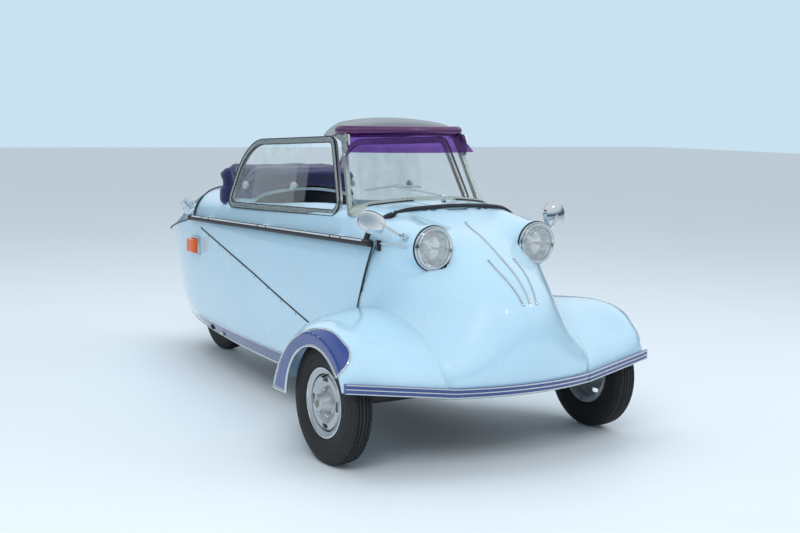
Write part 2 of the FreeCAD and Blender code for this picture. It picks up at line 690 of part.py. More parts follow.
# Sun visor: a thin curved sheet from the header line down and forward
# height, half width, side y, middle y
VISOR = ((1087, 248, -583, -628), (1003, 273, -660, -742))


def visor_section(row):
    z, half, side_y, middle_y = row
    front = [Vector(half, side_y, z), Vector(0, middle_y, z), Vector(-half, side_y, z)]
    back = [p + Vector(0, pane, 0) for p in front]
    return Part.Wire([
        Part.Arc(front[0], front[1], front[2]).toShape(),
        Part.LineSegment(front[2], back[2]).toShape(),
        Part.Arc(back[2], back[1], back[0]).toShape(),
        Part.LineSegment(back[0], front[0]).toShape(),
    ])


visor = loft([visor_section(row) for row in VISOR])
visor = visor.cut(screen_band(780, 1100, frame_depth + 10, 0, seat_gap))
solid("sun_visor", largest(visor))

# Wiper on the scuttle: spindle boss, arm and blade
spindle = Vector(0, -866, 826)
arm_foot = spindle + Vector(0, 0, 12)
arm_elbow = spindle + Vector(0, -4, 28)
blade_middle = Vector(-149, -766, 888)
BLADE_TIPS = (Vector(-252, -744, 874), Vector(-47, -786, 884))
wiper = Part.makeCylinder(size("spindle_radius"), 16, spindle)
wiper = wiper.fuse(pipe([arm_foot, arm_elbow, blade_middle], size("wiper_arm_radius"), 8))
wiper = wiper.fuse(pipe([BLADE_TIPS[0], blade_middle, BLADE_TIPS[1]], size("blade_radius"), 60))
solid("wiper", largest(wiper.cut(scuttle)))


# Sizes and formulas: a sum of named sizes and plain numbers, such as "rim_radius - rim_wall"
def amount(text):
    total = 0.0
    sign = 1
    for word in text.split():
        if word in "+-":
            sign = 1 if word == "+" else -1
        else:
            total += sign * (size(word) if word[0].isalpha() else float(word))
    return total


def formula(text):
    return " ".join("Sizes." + word if word[0].isalpha() else word for word in text.split())


def move(node, base):
    for letter, text in zip("xyz", base):
        node.setExpression("Placement.Base." + letter, formula(text))
    return node


def primitive(kind, name, sizes, base, axis=None):
    node = doc.addObject("Part::" + kind, name)
    for prop, text in sizes.items():
        node.setExpression(prop, formula(text))
    if axis is not None:
        node.Placement.Rotation = FreeCAD.Rotation(Vector(0, 0, 1), axis)
    return move(node, base)


def block(name, sides, base):
    return primitive("Box", name, dict(zip(("Length", "Width", "Height"), sides)), base)


def rod(name, radius, length, base, axis=None):
    return primitive("Cylinder", name, {"Radius": radius, "Height": length}, base, axis)


def fused(name, pieces):
    node = doc.addObject("Part::MultiFuse", name)
    node.Shapes = pieces
    node.Refine = True
    return node


def cut(name, base, tool):
    node = doc.addObject("Part::Cut", name)
    node.Base = base
    node.Tool = tool
    return node


def mirror_of(name, node):
    other = doc.addObject("Part::Mirroring", name)
    other.Source = node
    other.Normal = Vector(1, 0, 0)
    return other


def both(name, node):
    group = doc.addObject("Part::Compound", name)
    group.Links = [node, mirror_of(name + "_mirror", node)]
    return keep(group, name)


def cushion(name, sides, base, radius):
    plain = block(name + "_block", sides, base)
    doc.recompute()
    soft = doc.addObject("Part::Fillet", name)
    soft.Base = plain
    soft.Edges = [(i + 1, radius, radius) for i in range(len(plain.Shape.Edges))]
    return soft


def origin_plane(body, role):
    return [item for item in body.Origin.OriginFeatures if item.Role == role][0]


def fix_point(sketch, index, along, radius):
    for kind, text, axis in (("DistanceX", along, -2), ("DistanceY", radius, -1)):
        if amount(text) == 0:
            sketch.addConstraint(Sketcher.Constraint("PointOnObject", index, 1, axis))
        else:
            row = sketch.addConstraint(Sketcher.Constraint(kind, -1, 1, index, 1, amount(text)))
            sketch.setExpression("Constraints[%d]" % row, formula(text))


# A body turned about its own X axis from a closed outline of (along, radius) points
def straight_outline(body, name, plane, profile):
    sketch = body.newObject("Sketcher::SketchObject", name)
    sketch.AttachmentSupport = [(origin_plane(body, plane), "")]
    sketch.MapMode = "FlatFace"
    points = [Vector(amount(along), amount(radius), 0) for along, radius in profile]
    count = len(points)
    for i in range(count):
        sketch.addGeometry(Part.LineSegment(points[i], points[(i + 1) % count]), False)
    for i in range(count):
        sketch.addConstraint(Sketcher.Constraint("Coincident", i, 2, (i + 1) % count, 1))
    for i, (along, radius) in enumerate(profile):
        fix_point(sketch, i, along, radius)
    return sketch


def turned(name, profile):
    body = doc.addObject("PartDesign::Body", name)
    sketch = straight_outline(body, name + "_outline", "XY_Plane", profile)
    spin = body.newObject("PartDesign::Revolution", name + "_turn")
    spin.Profile = sketch
    spin.ReferenceAxis = (sketch, ["H_Axis"])
    spin.Angle = 360
    body.Tip = spin
    return body


# Wheels: a steel rim with a slotted disc and a tyre on its bead seats. Local X points outward.
TYRE = (
    ("bead_half_width", "tyre_bore"),
    ("tyre_half_width - 2", "bead_radius + 26"),
    ("tyre_half_width", "tyre_radius - 40"),
    ("tyre_half_width - 6", "tyre_radius - 15"),
    ("tread_half_width", "tyre_radius - 2"),
    ("0", "tyre_radius"),
    ("- tread_half_width", "tyre_radius - 2"),
    ("- tyre_half_width + 6", "tyre_radius - 15"),
    ("- tyre_half_width", "tyre_radius - 40"),
    ("- tyre_half_width + 2", "bead_radius + 26"),
    ("- bead_half_width", "tyre_bore"),
)
RIM = (
    ("rim_half_width", "rim_radius"),
    ("rim_half_width", "rim_radius - rim_wall"),
    ("rim_half_width - 6", "rim_well_radius"),
    ("disc_face", "rim_well_radius"),
    ("disc_face + 14", "slot_circle + slot_half_width + 2"),
    ("disc_face + 14", "slot_circle - slot_half_width - 2"),
    ("disc_face + 7", "hub_radius + 20"),
    ("disc_face + 9", "hub_radius + 10"),
    ("hub_front", "hub_radius"),
    ("hub_front + cap_depth - 3", "hub_radius - 5"),
    ("hub_front + cap_depth", "hub_radius - 16"),
    ("hub_front + cap_depth", "0"),
    ("hub_front", "0"),
    ("hub_front", "stub_radius + running_fit"),
    ("- hub_back", "stub_radius + running_fit"),
    ("- hub_back", "hub_radius - 2"),
    ("disc_face - 4", "hub_radius + 4"),
    ("disc_face + 1", "hub_radius + 20"),
    ("disc_face + 8", "slot_circle - slot_half_width - 2"),
    ("disc_face + 8", "slot_circle + slot_half_width + 2"),
    ("disc_face - 7", "rim_well_radius"),
    ("- rim_half_width + 6", "rim_well_radius"),
    ("- rim_half_width", "rim_radius - rim_wall"),
    ("- rim_half_width", "rim_radius"),
    ("- rim_half_width + rim_wall", "rim_radius"),
    ("- rim_half_width + rim_wall + rim_wall", "rim_well_radius + rim_wall"),
    ("rim_half_width - rim_wall - rim_wall", "rim_well_radius + rim_wall"),
    ("rim_half_width - rim_wall", "rim_radius"),
)
SLOT = (
    ("slot_half_length", "slot_circle - slot_half_width"),
    ("slot_half_length + 3", "slot_circle"),
    ("slot_half_length", "slot_circle + slot_half_width"),
    ("- slot_half_length", "slot_circle + slot_half_width"),
    ("- slot_half_length - 3", "slot_circle"),
    ("- slot_half_length", "slot_circle - slot_half_width"),
)
# Wheel name, place of its middle, turn about Z
WHEELS = (
    ("front_left", ("half_track", "- axle_front_y", "tyre_radius"), 0),
    ("front_right", ("- half_track", "- axle_front_y", "tyre_radius"), 180),
    ("rear", ("0", "axle_rear_y", "tyre_radius"), 180),
)


def slotted_rim(name):
    body = turned(name, RIM)
    doc.recompute()
    plain_volume = body.Shape.Volume
    sketch = straight_outline(body, name + "_slot", "YZ_Plane", SLOT)
    sketch.AttachmentOffset = FreeCAD.Placement(Vector(0, 0, 60), FreeCAD.Rotation())
    pocket = body.newObject("PartDesign::Pocket", name + "_slot_cut")
    pocket.Profile = sketch
    pocket.Length = 120
    doc.recompute()
    ring = body.newObject("PartDesign::PolarPattern", name + "_slots")
    ring.Originals = [pocket]
    ring.Axis = (sketch, ["N_Axis"])
    ring.Angle = 360
    ring.setExpression("Occurrences", formula("slot_count"))
    body.Tip = ring
    doc.recompute()
    if body.Shape.Volume >= plain_volume:
        raise RuntimeError("the slots of %s cut nothing" % name)
    return body


for name, middle, turn in WHEELS:
    for wheel_piece in (slotted_rim("rim_" + name), turned("tyre_" + name, TYRE)):
        wheel_piece.Placement.Rotation = FreeCAD.Rotation(Vector(0, 0, 1), turn)
        keep(move(wheel_piece, middle), wheel_piece.Name)

# Knuckles: kingpin, two plates, a web and the stub the wheel turns on
along_x = Vector(1, 0, 0)
king_foot = "tyre_radius - king_half - seat_gap - knuckle_plate"
knuckle = fused("knuckle_left", [
    rod("kingpin", "kingpin_radius", "king_half + king_half + knuckle_plate + knuckle_plate",
        ("kingpin_x", "- axle_front_y", "tyre_radius - king_half - knuckle_plate")),
    block("plate_low", ("knuckle_half + king_wall + king_radius + seat_gap + 2",
                        "knuckle_half + knuckle_half", "knuckle_plate"),
          ("kingpin_x - knuckle_half", "- axle_front_y - knuckle_half", king_foot)),
    block("plate_high", ("knuckle_half + king_wall + king_radius + seat_gap + 2",
                         "knuckle_half + knuckle_half", "knuckle_plate"),
          ("kingpin_x - knuckle_half", "- axle_front_y - knuckle_half",
           "tyre_radius + king_half + seat_gap")),
    block("web", ("king_wall", "knuckle_half + knuckle_half",
                  "king_half + king_half + knuckle_plate + knuckle_plate + seat_gap + seat_gap"),
          ("kingpin_x + king_radius + seat_gap + 2", "- axle_front_y - knuckle_half", king_foot)),
    rod("stub", "stub_radius", "half_track + hub_front - seat_gap - kingpin_x - king_radius - king_wall",
        ("kingpin_x + king_radius + king_wall", "- axle_front_y", "tyre_radius"), along_x),
    rod("stub_shoulder", "stub_radius + king_wall",
        "half_track - hub_back - seat_gap - kingpin_x - king_radius - king_wall",
        ("kingpin_x + king_radius + king_wall", "- axle_front_y", "tyre_radius"), along_x),
])
keep(knuckle, "knuckle_left")
keep(mirror_of("knuckle_right", knuckle), "knuckle_right")

# Front axle: a cross tube with a kingpin sleeve at each end, hung on two saddles under the nose
axle_solid = fused("axle_solid", [
    rod("axle_tube", "axle_tube_radius", "kingpin_x + kingpin_x - king_radius",
        ("- kingpin_x + king_radius - 8", "- axle_front_y", "tyre_radius"), along_x),
    rod("king_sleeve_left", "king_radius", "king_half + king_half",
        ("kingpin_x", "- axle_front_y", "tyre_radius - king_half")),
    rod("king_sleeve_right", "king_radius", "king_half + king_half",
        ("- kingpin_x", "- axle_front_y", "tyre_radius - king_half")),
    block("saddle_left", ("saddle_width", "saddle_width", "nose_floor_z - seat_gap - tyre_radius"),
          ("saddle_x", "- axle_front_y - 20", "tyre_radius")),
    block("saddle_right", ("saddle_width", "saddle_width", "nose_floor_z - seat_gap - tyre_radius"),
          ("- saddle_x - saddle_width", "- axle_front_y - 20", "tyre_radius")),
])
king_bores = fused("king_bores", [
    rod("king_bore_left", "kingpin_radius + running_fit", "king_half + king_half + 60",
        ("kingpin_x", "- axle_front_y", "tyre_radius - king_half - 30")),
    rod("king_bore_right", "kingpin_radius + running_fit", "king_half + king_half + 60",
        ("- kingpin_x", "- axle_front_y", "tyre_radius - king_half - 30")),
])
keep(cut("front_axle", axle_solid, king_bores), "front_axle")

# Rear arm: a flat case from the cross tube to the wheel's stub
along_back = Vector(-1, 0, 0)
arm_pivot = Vector(size("arm_x"), size("pivot_y"), size("frame_z"))
arm_hub = Vector(size("arm_x"), size("axle_rear_y"), size("tyre_radius"))
arm_line = (arm_hub - arm_pivot).normalize()
arm_across = Vector(0, -arm_line.z, arm_line.y)
arm_corners = [arm_pivot + arm_across * size("arm_pivot_end"), arm_hub + arm_across * size("arm_wheel_end"),
               arm_hub - arm_across * size("arm_wheel_end"), arm_pivot - arm_across * size("arm_pivot_end")]
arm_thick = size("arm_thick")
arm = Part.Face(Part.makePolygon(arm_corners + arm_corners[:1])).extrude(along_x * arm_thick)
arm = arm.fuse([Part.makeCylinder(size("arm_pivot_end"), arm_thick, arm_pivot, along_x),
                Part.makeCylinder(size("arm_wheel_end"), arm_thick, arm_hub, along_x)]).removeSplitter()
arm = arm.cut(Part.makeCylinder(size("cross_tube_radius") + size("running_fit"), 3 * arm_thick,
                                arm_pivot - along_x * arm_thick, along_x))
arm = arm.fuse([Part.makeCylinder(size("stub_radius"), size("arm_x") + size("hub_front") - seat_gap,
                                  arm_hub, along_back),
                Part.makeCylinder(size("stub_radius") + size("king_wall"),
                                  size("arm_x") - size("hub_back") - seat_gap, arm_hub, along_back)])
solid("rear_arm", arm)

# Floor, toe board and nose floor in one pan, with a cup for the steering column's foot
pan_space = side_solid(wall + seat_gap)
floor_z = size("floor_z")
floor_thick = size("floor_thick")
sheet_thick = size("sheet_thick")
toe_y = -size("toe_y")
bulkhead_y = size("floor_rear_y")


def slab(start_y, end_y, base_z, top_z):
    return Part.makeBox(900, end_y - start_y, top_z - base_z, Vector(-450, start_y, base_z))


floor_pan = pan_space.common(slab(toe_y, bulkhead_y - seat_gap, floor_z, floor_z + floor_thick))
floor_pan = floor_pan.fuse([
    pan_space.common(slab(toe_y, toe_y + sheet_thick, floor_z, nose_floor + floor_thick)),
    pan_space.common(slab(nose_foot_y, toe_y + sheet_thick, nose_floor, nose_floor + floor_thick)),
    nose_solid(wall + 2 * seat_gap).common(slab(-1500, nose_foot_y, nose_floor, nose_floor + floor_thick)),
])
column_foot = Vector(0, -size("column_foot_y"), size("column_foot_z"))
column_line = Vector(0, size("column_run"), size("column_rise"))
column_length = column_line.Length
column_line.normalize()
column_radius = size("column_radius")
column_bore = Part.makeCylinder(column_radius + size("running_fit"), column_length, column_foot, column_line)
cup = Part.makeCylinder(2 * column_radius, 50, column_foot - column_line * 20, column_line)
cup = cup.common(slab(-1500, 0, nose_floor, 400)).cut(column_bore)
solid("floor_pan", floor_pan.fuse(cup))

# Bulkhead behind the seats and the shelf over the engine, with a raised platform behind the seat back
shelf_z = size("shelf_z")
bulkhead = pan_space.common(slab(bulkhead_y, bulkhead_y + sheet_thick, floor_z, shelf_z + sheet_thick))
bulkhead = bulkhead.fuse(pan_space.common(slab(bulkhead_y, deck_y - gap, shelf_z, shelf_z + sheet_thick)))
platform = pan_space.common(slab(size("platform_y"), deck_y - gap, shelf_z, size("platform_z")))
solid("bulkhead", bulkhead.fuse(platform))

# Dashboard with the ring that carries the steering column
dash_y = -size("dash_y")
dash_thick = size("dash_thick")
dash = pan_space.common(slab(dash_y, dash_y + dash_thick, size("dash_low_z"), size("dash_top_z")))
ring_y = dash_y + dash_thick / 2
ring_middle = column_foot + column_line * ((ring_y - column_foot.y) / column_line.y)
dash = dash.fuse(Part.makeBox(60, sheet_thick, size("dash_low_z") - ring_middle.z + 10,
                              Vector(-30, ring_y - sheet_thick / 2, ring_middle.z)))
dash = dash.fuse(Part.makeCylinder(2 * column_radius, 40, ring_middle - column_line * 20, column_line))
solid("dash", dash.cut(column_bore))

# Handlebar on its column
column_top = column_foot + column_line * column_length
bar_half = size("bar_half")
bar_radius = size("bar_radius")
grip_end = Vector(bar_half + 22, column_top.y + 100, column_top.z + 8)
bend = Vector(bar_half, column_top.y, column_top.z)
flip_grip = Vector(-grip_end.x, grip_end.y, grip_end.z)
flip_bend = Vector(-bend.x, bend.y, bend.z)
handlebar = Part.makeCylinder(column_radius, column_length - seat_gap, column_foot + column_line * seat_gap,
                              column_line)
handlebar = handlebar.fuse(pipe([flip_grip, flip_bend, bend, grip_end], bar_radius, 30))
for hand in (grip_end, flip_grip):
    toward = (hand - (bend if hand.x > 0 else flip_bend)).normalize()
    handlebar = handlebar.fuse(Part.makeCylinder(size("grip_radius"), 78, hand - toward * 70, toward))
solid("handlebar", handlebar.removeSplitter())

# Rear frame: two side tubes drawn together toward the tail, tied by three cross tubes
frame_z = size("frame_z")
frame_tube = size("frame_tube_radius")
FRAME_LINE = ((150, bulkhead_y + sheet_thick + seat_gap), (125, 980), (60, 1190))
CROSS_TUBES = (size("engine_front_y") + 15, size("engine_front_y") + size("engine_length") - 20,
               size("pivot_y"))
side_tube = pipe([Vector(x, y, frame_z) for x, y in FRAME_LINE], frame_tube, 60)
rear_frame = side_tube.fuse(mirrored(side_tube))
for y in CROSS_TUBES:
    rear_frame = rear_frame.fuse(Part.makeCylinder(size("cross_tube_radius"), 280, Vector(-140, y, frame_z),
                                                   along_x))
solid("rear_frame", rear_frame)
frame_top = "frame_z + cross_tube_radius + seat_gap"
engine = primitive("Box", "engine_block", {
    "Length": "engine_width", "Width": "engine_length", "Height": "engine_height"},
    ("0", "engine_front_y", frame_top))
engine.setExpression("Placement.Base.x", "-Sizes.engine_width / 2")
keep(engine, "engine_block")
silencer_foot = Vector(-size("silencer_x"), size("engine_front_y"), size("silencer_z"))
along_y = Vector(0, 1, 0)
silencer = Part.makeCylinder(size("silencer_radius"), size("silencer_length"), silencer_foot, along_y)
silencer = silencer.fuse(Part.makeCylinder(14, size("silencer_length") + 60, silencer_foot, along_y))
bracket = Part.makeBox(16, 24, 80, silencer_foot + Vector(22, size("silencer_length") / 2, -90))
bracket = bracket.cut(pipe([Vector(-x, y, frame_z) for x, y in FRAME_LINE], frame_tube + seat_gap, 60))
bracket = bracket.common(slab(0, 1500, frame_z, 400))
solid("silencer", largest(silencer.fuse(bracket)))

# Seats, one behind the other, on frames of square tube
front_seat = fused("seat_front", [
    cushion("front_cushion", ("seat_width", "front_seat_depth", "cushion_thick"),
            ("0", "- front_seat_y", "front_seat_z"), size("seat_round")),
    cushion("front_back", ("seat_width", "back_thick", "front_back_height"),
            ("0", "front_seat_depth - front_seat_y - seat_round", "front_seat_z + cushion_thick - 40"),
            size("seat_round")),
])
rear_seat = fused("seat_rear", [
    cushion("rear_cushion", ("rear_back_width", "rear_seat_depth", "cushion_thick"),
            ("0", "rear_seat_y", "rear_seat_z"), size("seat_round")),
    cushion("rear_back", ("rear_back_width", "back_thick", "rear_back_height"),
            ("0", "rear_seat_y + rear_seat_depth - 20", "shelf_z + sheet_thick + seat_gap"),
            size("seat_round")),
])
for name in ("front_cushion", "front_back"):
    doc.getObject(name + "_block").setExpression("Placement.Base.x", "-Sizes.seat_width / 2")
for name in ("rear_cushion", "rear_back"):
    doc.getObject(name + "_block").setExpression("Placement.Base.x", "-Sizes.rear_back_width / 2")
keep(front_seat, "seat_front")
keep(rear_seat, "seat_rear")
floor_top = "floor_z + floor_thick + seat_gap"
frames = []
for name, start_y, length, seat_z in (
        ("front", "- front_seat_y + 30", "front_seat_depth - 60", "front_seat_z"),
        ("rear", "rear_seat_y + 20", "rear_seat_depth - 40", "rear_seat_z")):
    for side, x in (("left", "leg_x"), ("right", "- leg_x - leg")):
        frames.append(block("%s_leg_%s" % (name, side),
                            ("leg", length, seat_z + " - seat_gap - seat_gap - floor_z - floor_thick"),
                            (x, start_y, floor_top)))
    frames.append(block(name + "_tie", ("leg_x + leg_x + leg", "leg", "leg"),
                        ("- leg_x", start_y, floor_top)))
keep(fused("seat_frames", frames), "seat_frames")

# Folded hood: a soft bundle across the rear panel
def soft_box(width, start_y, end_y, start_z, height):
    box = Part.makeBox(width, end_y - start_y, height, Vector(-width / 2, start_y, start_z))
    return box.makeFillet(min(size("hood_round"), (end_y - start_y) / 2 - 1), box.Edges)


hood_rear = size("hood_y") + size("hood_depth")
hood = soft_box(size("hood_width"), size("hood_y"), hood_rear, size("hood_z"), size("hood_height"))
hood = hood.fuse(soft_box(size("hood_roll_width"), size("hood_roll_y"), hood_rear, size("hood_z") - 15,
                          size("hood_height")))
solid("folded_hood", largest(hood.cut(scuttle).cut(window_space)))

# Headlamps: a bowl with a rim, and a domed glass held in the rim. Local X points forward.
LAMP = (
    ("- lamp_depth + seat_gap", "0"),
    ("- lamp_depth + seat_gap", "lens_radius - 30"),
    ("- 30", "lens_radius + 2 - seat_gap"),
    ("seat_gap", "lens_radius + 2 - seat_gap"),
    ("seat_gap", "lamp_radius"),
    ("lamp_rim", "lamp_radius"),
    ("lamp_rim + 2", "lamp_radius - 5"),
    ("lamp_rim - 2", "lens_radius"),
    ("4", "lens_radius"),
    ("0", "lens_radius - 4"),
    ("- 30", "lens_radius - 15"),
    ("- lamp_depth + 12", "lens_radius - 38"),
    ("- lamp_depth + 8", "0"),
)
LENS = (
    ("lamp_rim", "0"),
    ("lamp_rim - 2", "lens_radius - 30"),
    ("lamp_rim - 8", "lens_radius - seat_gap - 4"),
    ("lamp_rim - 8", "lens_radius - seat_gap"),
    ("lamp_rim - 4", "lens_radius - seat_gap"),
    ("lamp_rim + 2", "lens_radius - 25"),
    ("lamp_rim + 5", "0"),
)
for name, profile in (("headlamps", LAMP), ("headlamp_glass", LENS)):
    lamp = turned(name + "_left", profile)
    lamp.Placement.Rotation = FreeCAD.Rotation(Vector(0, 0, 1), -90)
    move(lamp, ("lamp_x", "- lamp_y", "lamp_z"))
    both(name, lamp)

# Mirrors: a round domed head on a bent stalk from each lamp pod. The right one is tipped down.
# side, where the head's back looks
MIRRORS = ((1, (0.15, -0.95, 0.1)), (-1, (-0.05, -0.62, 0.78)))
mirror_radius = size("mirror_radius")
half_deep = size("mirror_deep") / 2
stalk_foot = Vector(276, -1072, 730)
stalk_rise = Vector(54, -3, 22)
mirror_middle = Vector(size("mirror_x"), -size("mirror_y"), size("mirror_z"))


def on_side(side, p):
    return Vector(side * p.x, p.y, p.z)


mirror_pieces = []
for side, look in MIRRORS:
    look = Vector(look).normalize()
    middle = on_side(side, mirror_middle)
    stalk = pipe([on_side(side, stalk_foot), on_side(side, stalk_foot + stalk_rise),
                  middle + look * half_deep], size("stalk_radius"), 20)
    head = Part.makeSphere(mirror_radius * 2, middle - look * mirror_radius * 1.6)
    head = head.common(Part.makeCylinder(mirror_radius, 40, middle - look * half_deep, look))
    boss = Part.makeCylinder(size("mirror_boss"), 40, on_side(side, stalk_foot - stalk_rise * 0.15),
                             on_side(side, stalk_rise))
    mirror = stalk.fuse([head, boss]).cut(lamp_pod(side, seat_gap)).cut(nose_solid(-seat_gap))
    mirror_pieces.append(largest(mirror))
solid("mirrors", Part.makeCompound(mirror_pieces))

# Bumper strip round the front edge of the nose and the wings
bumper_z = size("bumper_z")
bumper_height = size("bumper_height")
bumper_depth = size("bumper_depth")
bumper_x = size("bumper_nose_x")
strip = nose_solid(-seat_gap - bumper_depth).common(
    Part.makeBox(2 * bumper_x, 300, bumper_height, Vector(-bumper_x, -1500, bumper_z)))
strip = strip.cut(nose_solid(-seat_gap)).cut(wing_outer).cut(mirrored(wing_outer))


def bumper_end(x, y, z):
    front = y - bumper_depth - 2 * seat_gap
    back = y - 2 * seat_gap
    points = [Vector(x, front, z), Vector(x, back, z), Vector(x, back, z + bumper_height),
              Vector(x, front, z + bumper_height)]
    return Part.makePolygon(points + points[:1])


arm_left = loft([bumper_end(bumper_x - 3, -size("bumper_nose_y") - 1, bumper_z),
                 bumper_end(size("bumper_end_x"), -size("bumper_end_y"), bumper_z + size("bumper_rise"))])
arm_left = arm_left.cut(nose_solid(-seat_gap)).cut(wing_outer)
bumper = strip.fuse([arm_left, mirrored(arm_left)])
solid("bumper_strip", bumper)

# Indicators on the side panels' rear, tail lamps and the filler cap on the deck's shoulder
# x where it starts, its three sides and the rounding of its edges
INDICATOR_PLATE = (260, (24, 90, 80), 8)
INDICATOR_LENS = (284, (30, 70, 62), 10)


def indicator_block(row, outer):
    start, sides, rounding = row
    corner = Vector(start, size("indicator_y") - sides[1] / 2, size("indicator_z") - sides[2] / 2)
    block_shape = Part.makeBox(sides[0], sides[1], sides[2], corner)
    edges = [e for e in block_shape.Edges if e.BoundBox.XMax > start + 1 and
             (outer or e.BoundBox.XLength > 1)]
    return block_shape.makeFillet(rounding, edges)


indicator = indicator_block(INDICATOR_PLATE, False).fuse(indicator_block(INDICATOR_LENS, True))
solid("indicators", pair(largest(indicator.cut(side_solid(-seat_gap)))))
tail_lamp = Part.makeCylinder(size("tail_lamp_radius"), 60,
                              Vector(size("tail_lamp_x"), 1256, size("tail_lamp_z")), Vector(0, 1, 0))
tail_lamp = tail_lamp.cut(tail_solid(-seat_gap))
solid("tail_lamps", pair(largest(tail_lamp)))
filler_axis = Vector(-0.62, 0.12, 0.77)
filler_foot = Vector(-219, 915, 695) - filler_axis * 26
filler = Part.makeCylinder(size("filler_radius") + size("filler_skirt"), 36, filler_foot, filler_axis)
filler = filler.fuse(Part.makeCylinder(size("filler_radius"), 62, filler_foot, filler_axis))
filler = filler.cut(deck_solid(-seat_gap)).cut(tail_solid(-seat_gap))
solid("filler_cap", largest(filler))


def write():
    os.makedirs("parts", exist_ok=True)
    doc.recompute()
    faults = []
    for item in doc.Objects:
        if "Invalid" in item.State or "Error" in item.State:
            faults.append(item.Name)
    for label, node in nodes.items():
        shape = node.Shape
        if shape.isNull() or not shape.isValid() or not shape.Solids:
            faults.append(label)
            continue
        print("%-18s solids %d  volume %9.1f cm3" % (label, len(shape.Solids), shape.Volume / 1000))
    if faults:
        raise RuntimeError("not sound: " + ", ".join(faults))
    for label, node in nodes.items():
        node.Shape.exportStep("parts/%s.step" % label)


write()
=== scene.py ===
# %% [markdown]
# # A three-wheeled bubble car
# This notebook dresses the car's fixed solids: paint, chrome, glass, rubber and cloth, and the small
# pieces that a factory adds last. Every length is in metres, in the solids' own frame: the car's nose
# points to -Y, its left is +X and the floor is Z = 0.

# %% Load the solids
import json
import math
import random

import bpy
import bmesh
import numpy as np
from mathutils import Matrix, Vector
from mathutils.bvhtree import BVHTree

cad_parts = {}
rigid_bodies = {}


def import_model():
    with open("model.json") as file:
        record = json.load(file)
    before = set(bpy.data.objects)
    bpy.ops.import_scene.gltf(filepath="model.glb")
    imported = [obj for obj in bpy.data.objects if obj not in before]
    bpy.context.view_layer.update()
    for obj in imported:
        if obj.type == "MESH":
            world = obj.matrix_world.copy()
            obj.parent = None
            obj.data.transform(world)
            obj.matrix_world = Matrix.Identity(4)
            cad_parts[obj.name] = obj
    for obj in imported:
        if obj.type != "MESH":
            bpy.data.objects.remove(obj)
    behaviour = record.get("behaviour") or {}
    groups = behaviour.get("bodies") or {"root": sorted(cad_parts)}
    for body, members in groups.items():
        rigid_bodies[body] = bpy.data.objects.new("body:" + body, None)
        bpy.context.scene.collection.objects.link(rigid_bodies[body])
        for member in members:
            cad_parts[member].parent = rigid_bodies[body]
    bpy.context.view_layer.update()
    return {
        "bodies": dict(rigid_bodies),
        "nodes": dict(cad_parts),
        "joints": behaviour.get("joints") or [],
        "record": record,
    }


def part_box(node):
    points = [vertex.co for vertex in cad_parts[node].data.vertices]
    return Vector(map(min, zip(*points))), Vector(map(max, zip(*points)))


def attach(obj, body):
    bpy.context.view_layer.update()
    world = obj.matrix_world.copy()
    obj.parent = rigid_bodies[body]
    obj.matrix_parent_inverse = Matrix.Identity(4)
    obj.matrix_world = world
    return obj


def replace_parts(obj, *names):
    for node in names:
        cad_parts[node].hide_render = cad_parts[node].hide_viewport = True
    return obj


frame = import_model()
nodes = frame["nodes"]
MM = 0.001
X, Y, Z = Vector((1, 0, 0)), Vector((0, 1, 0)), Vector((0, 0, 1))
print("solids loaded:", len(nodes))

# %% [markdown]
# ## Colours and small tools
# Colours are written the way a paint chart shows them, as sRGB hex, and turned into the linear values
# that a shader needs by one function. Pattern sizes are given in real millimetres.

# %% Node and colour tools


def linear(code, gain=1.0):
    values = [int(code[i:i + 2], 16) / 255 for i in (1, 3, 5)]
    values = [v / 12.92 if v <= 0.04045 else ((v + 0.055) / 1.055) ** 2.4 for v in values]
    return tuple(min(1.0, v * gain) for v in values) + (1.0,)


def add(tree, kind, inputs=None, **settings):
    new = tree.nodes.new("ShaderNode" + kind)
    for key, value in settings.items():
        setattr(new, key, value)
    for key, value in (inputs or {}).items():
        if isinstance(value, bpy.types.NodeSocket):
            tree.links.new(value, new.inputs[key])
        else:
            new.inputs[key].default_value = value
    return new


def blank(name):
    material = bpy.data.materials.new(name)
    material.use_nodes = True
    material.node_tree.nodes.clear()
    return material, material.node_tree


def mottled(tree, code, tint, grain, stretch=(1, 1, 1)):
    # A colour that drifts a little to each side of its chart value, in patches of `grain` mm
    place = add(tree, "TexCoord")
    scale = [s / (grain * MM) for s in stretch]
    mapping = add(tree, "Mapping", {"Vector": place.outputs["Object"], "Scale": scale})
    speck = add(tree, "TexNoise", {"Vector": mapping.outputs[0], "Scale": 1.0, "Detail": 4.0})
    ramp = add(tree, "MapRange", {"Value": speck.outputs[0], "From Min": 0.3, "From Max": 0.7})
    mix = add(tree, "Mix", {0: ramp.outputs[0], 6: linear(code, 1 - tint), 7: linear(code, 1 + tint)},
              data_type="RGBA")
    return mix.outputs[2], ramp.outputs[0]


def finish(name, code, roughness=0.4, spread=0.05, metallic=0.0, grain=30, tint=0.04, bump=0.0,
           coat=0.0, stretch=(1, 1, 1), sheen=0.0):
    material, tree = blank(name)
    colour, speck = mottled(tree, code, tint, grain, stretch)
    rough = add(tree, "MapRange", {"Value": speck, "To Min": max(0.01, roughness - spread),
                                   "To Max": roughness + spread})
    shader = add(tree, "BsdfPrincipled", {"Base Color": colour, "Roughness": rough.outputs[0],
                                          "Metallic": metallic})
    for key, value in (("Coat Weight", coat), ("Coat Roughness", 0.04), ("Sheen Weight", sheen)):
        shader.inputs[key].default_value = value
    if bump:
        bumps = add(tree, "Bump", {"Height": speck, "Strength": 1.0, "Distance": bump * MM})
        tree.links.new(bumps.outputs[0], shader.inputs["Normal"])
    add(tree, "OutputMaterial", {"Surface": shader.outputs[0]})
    return material


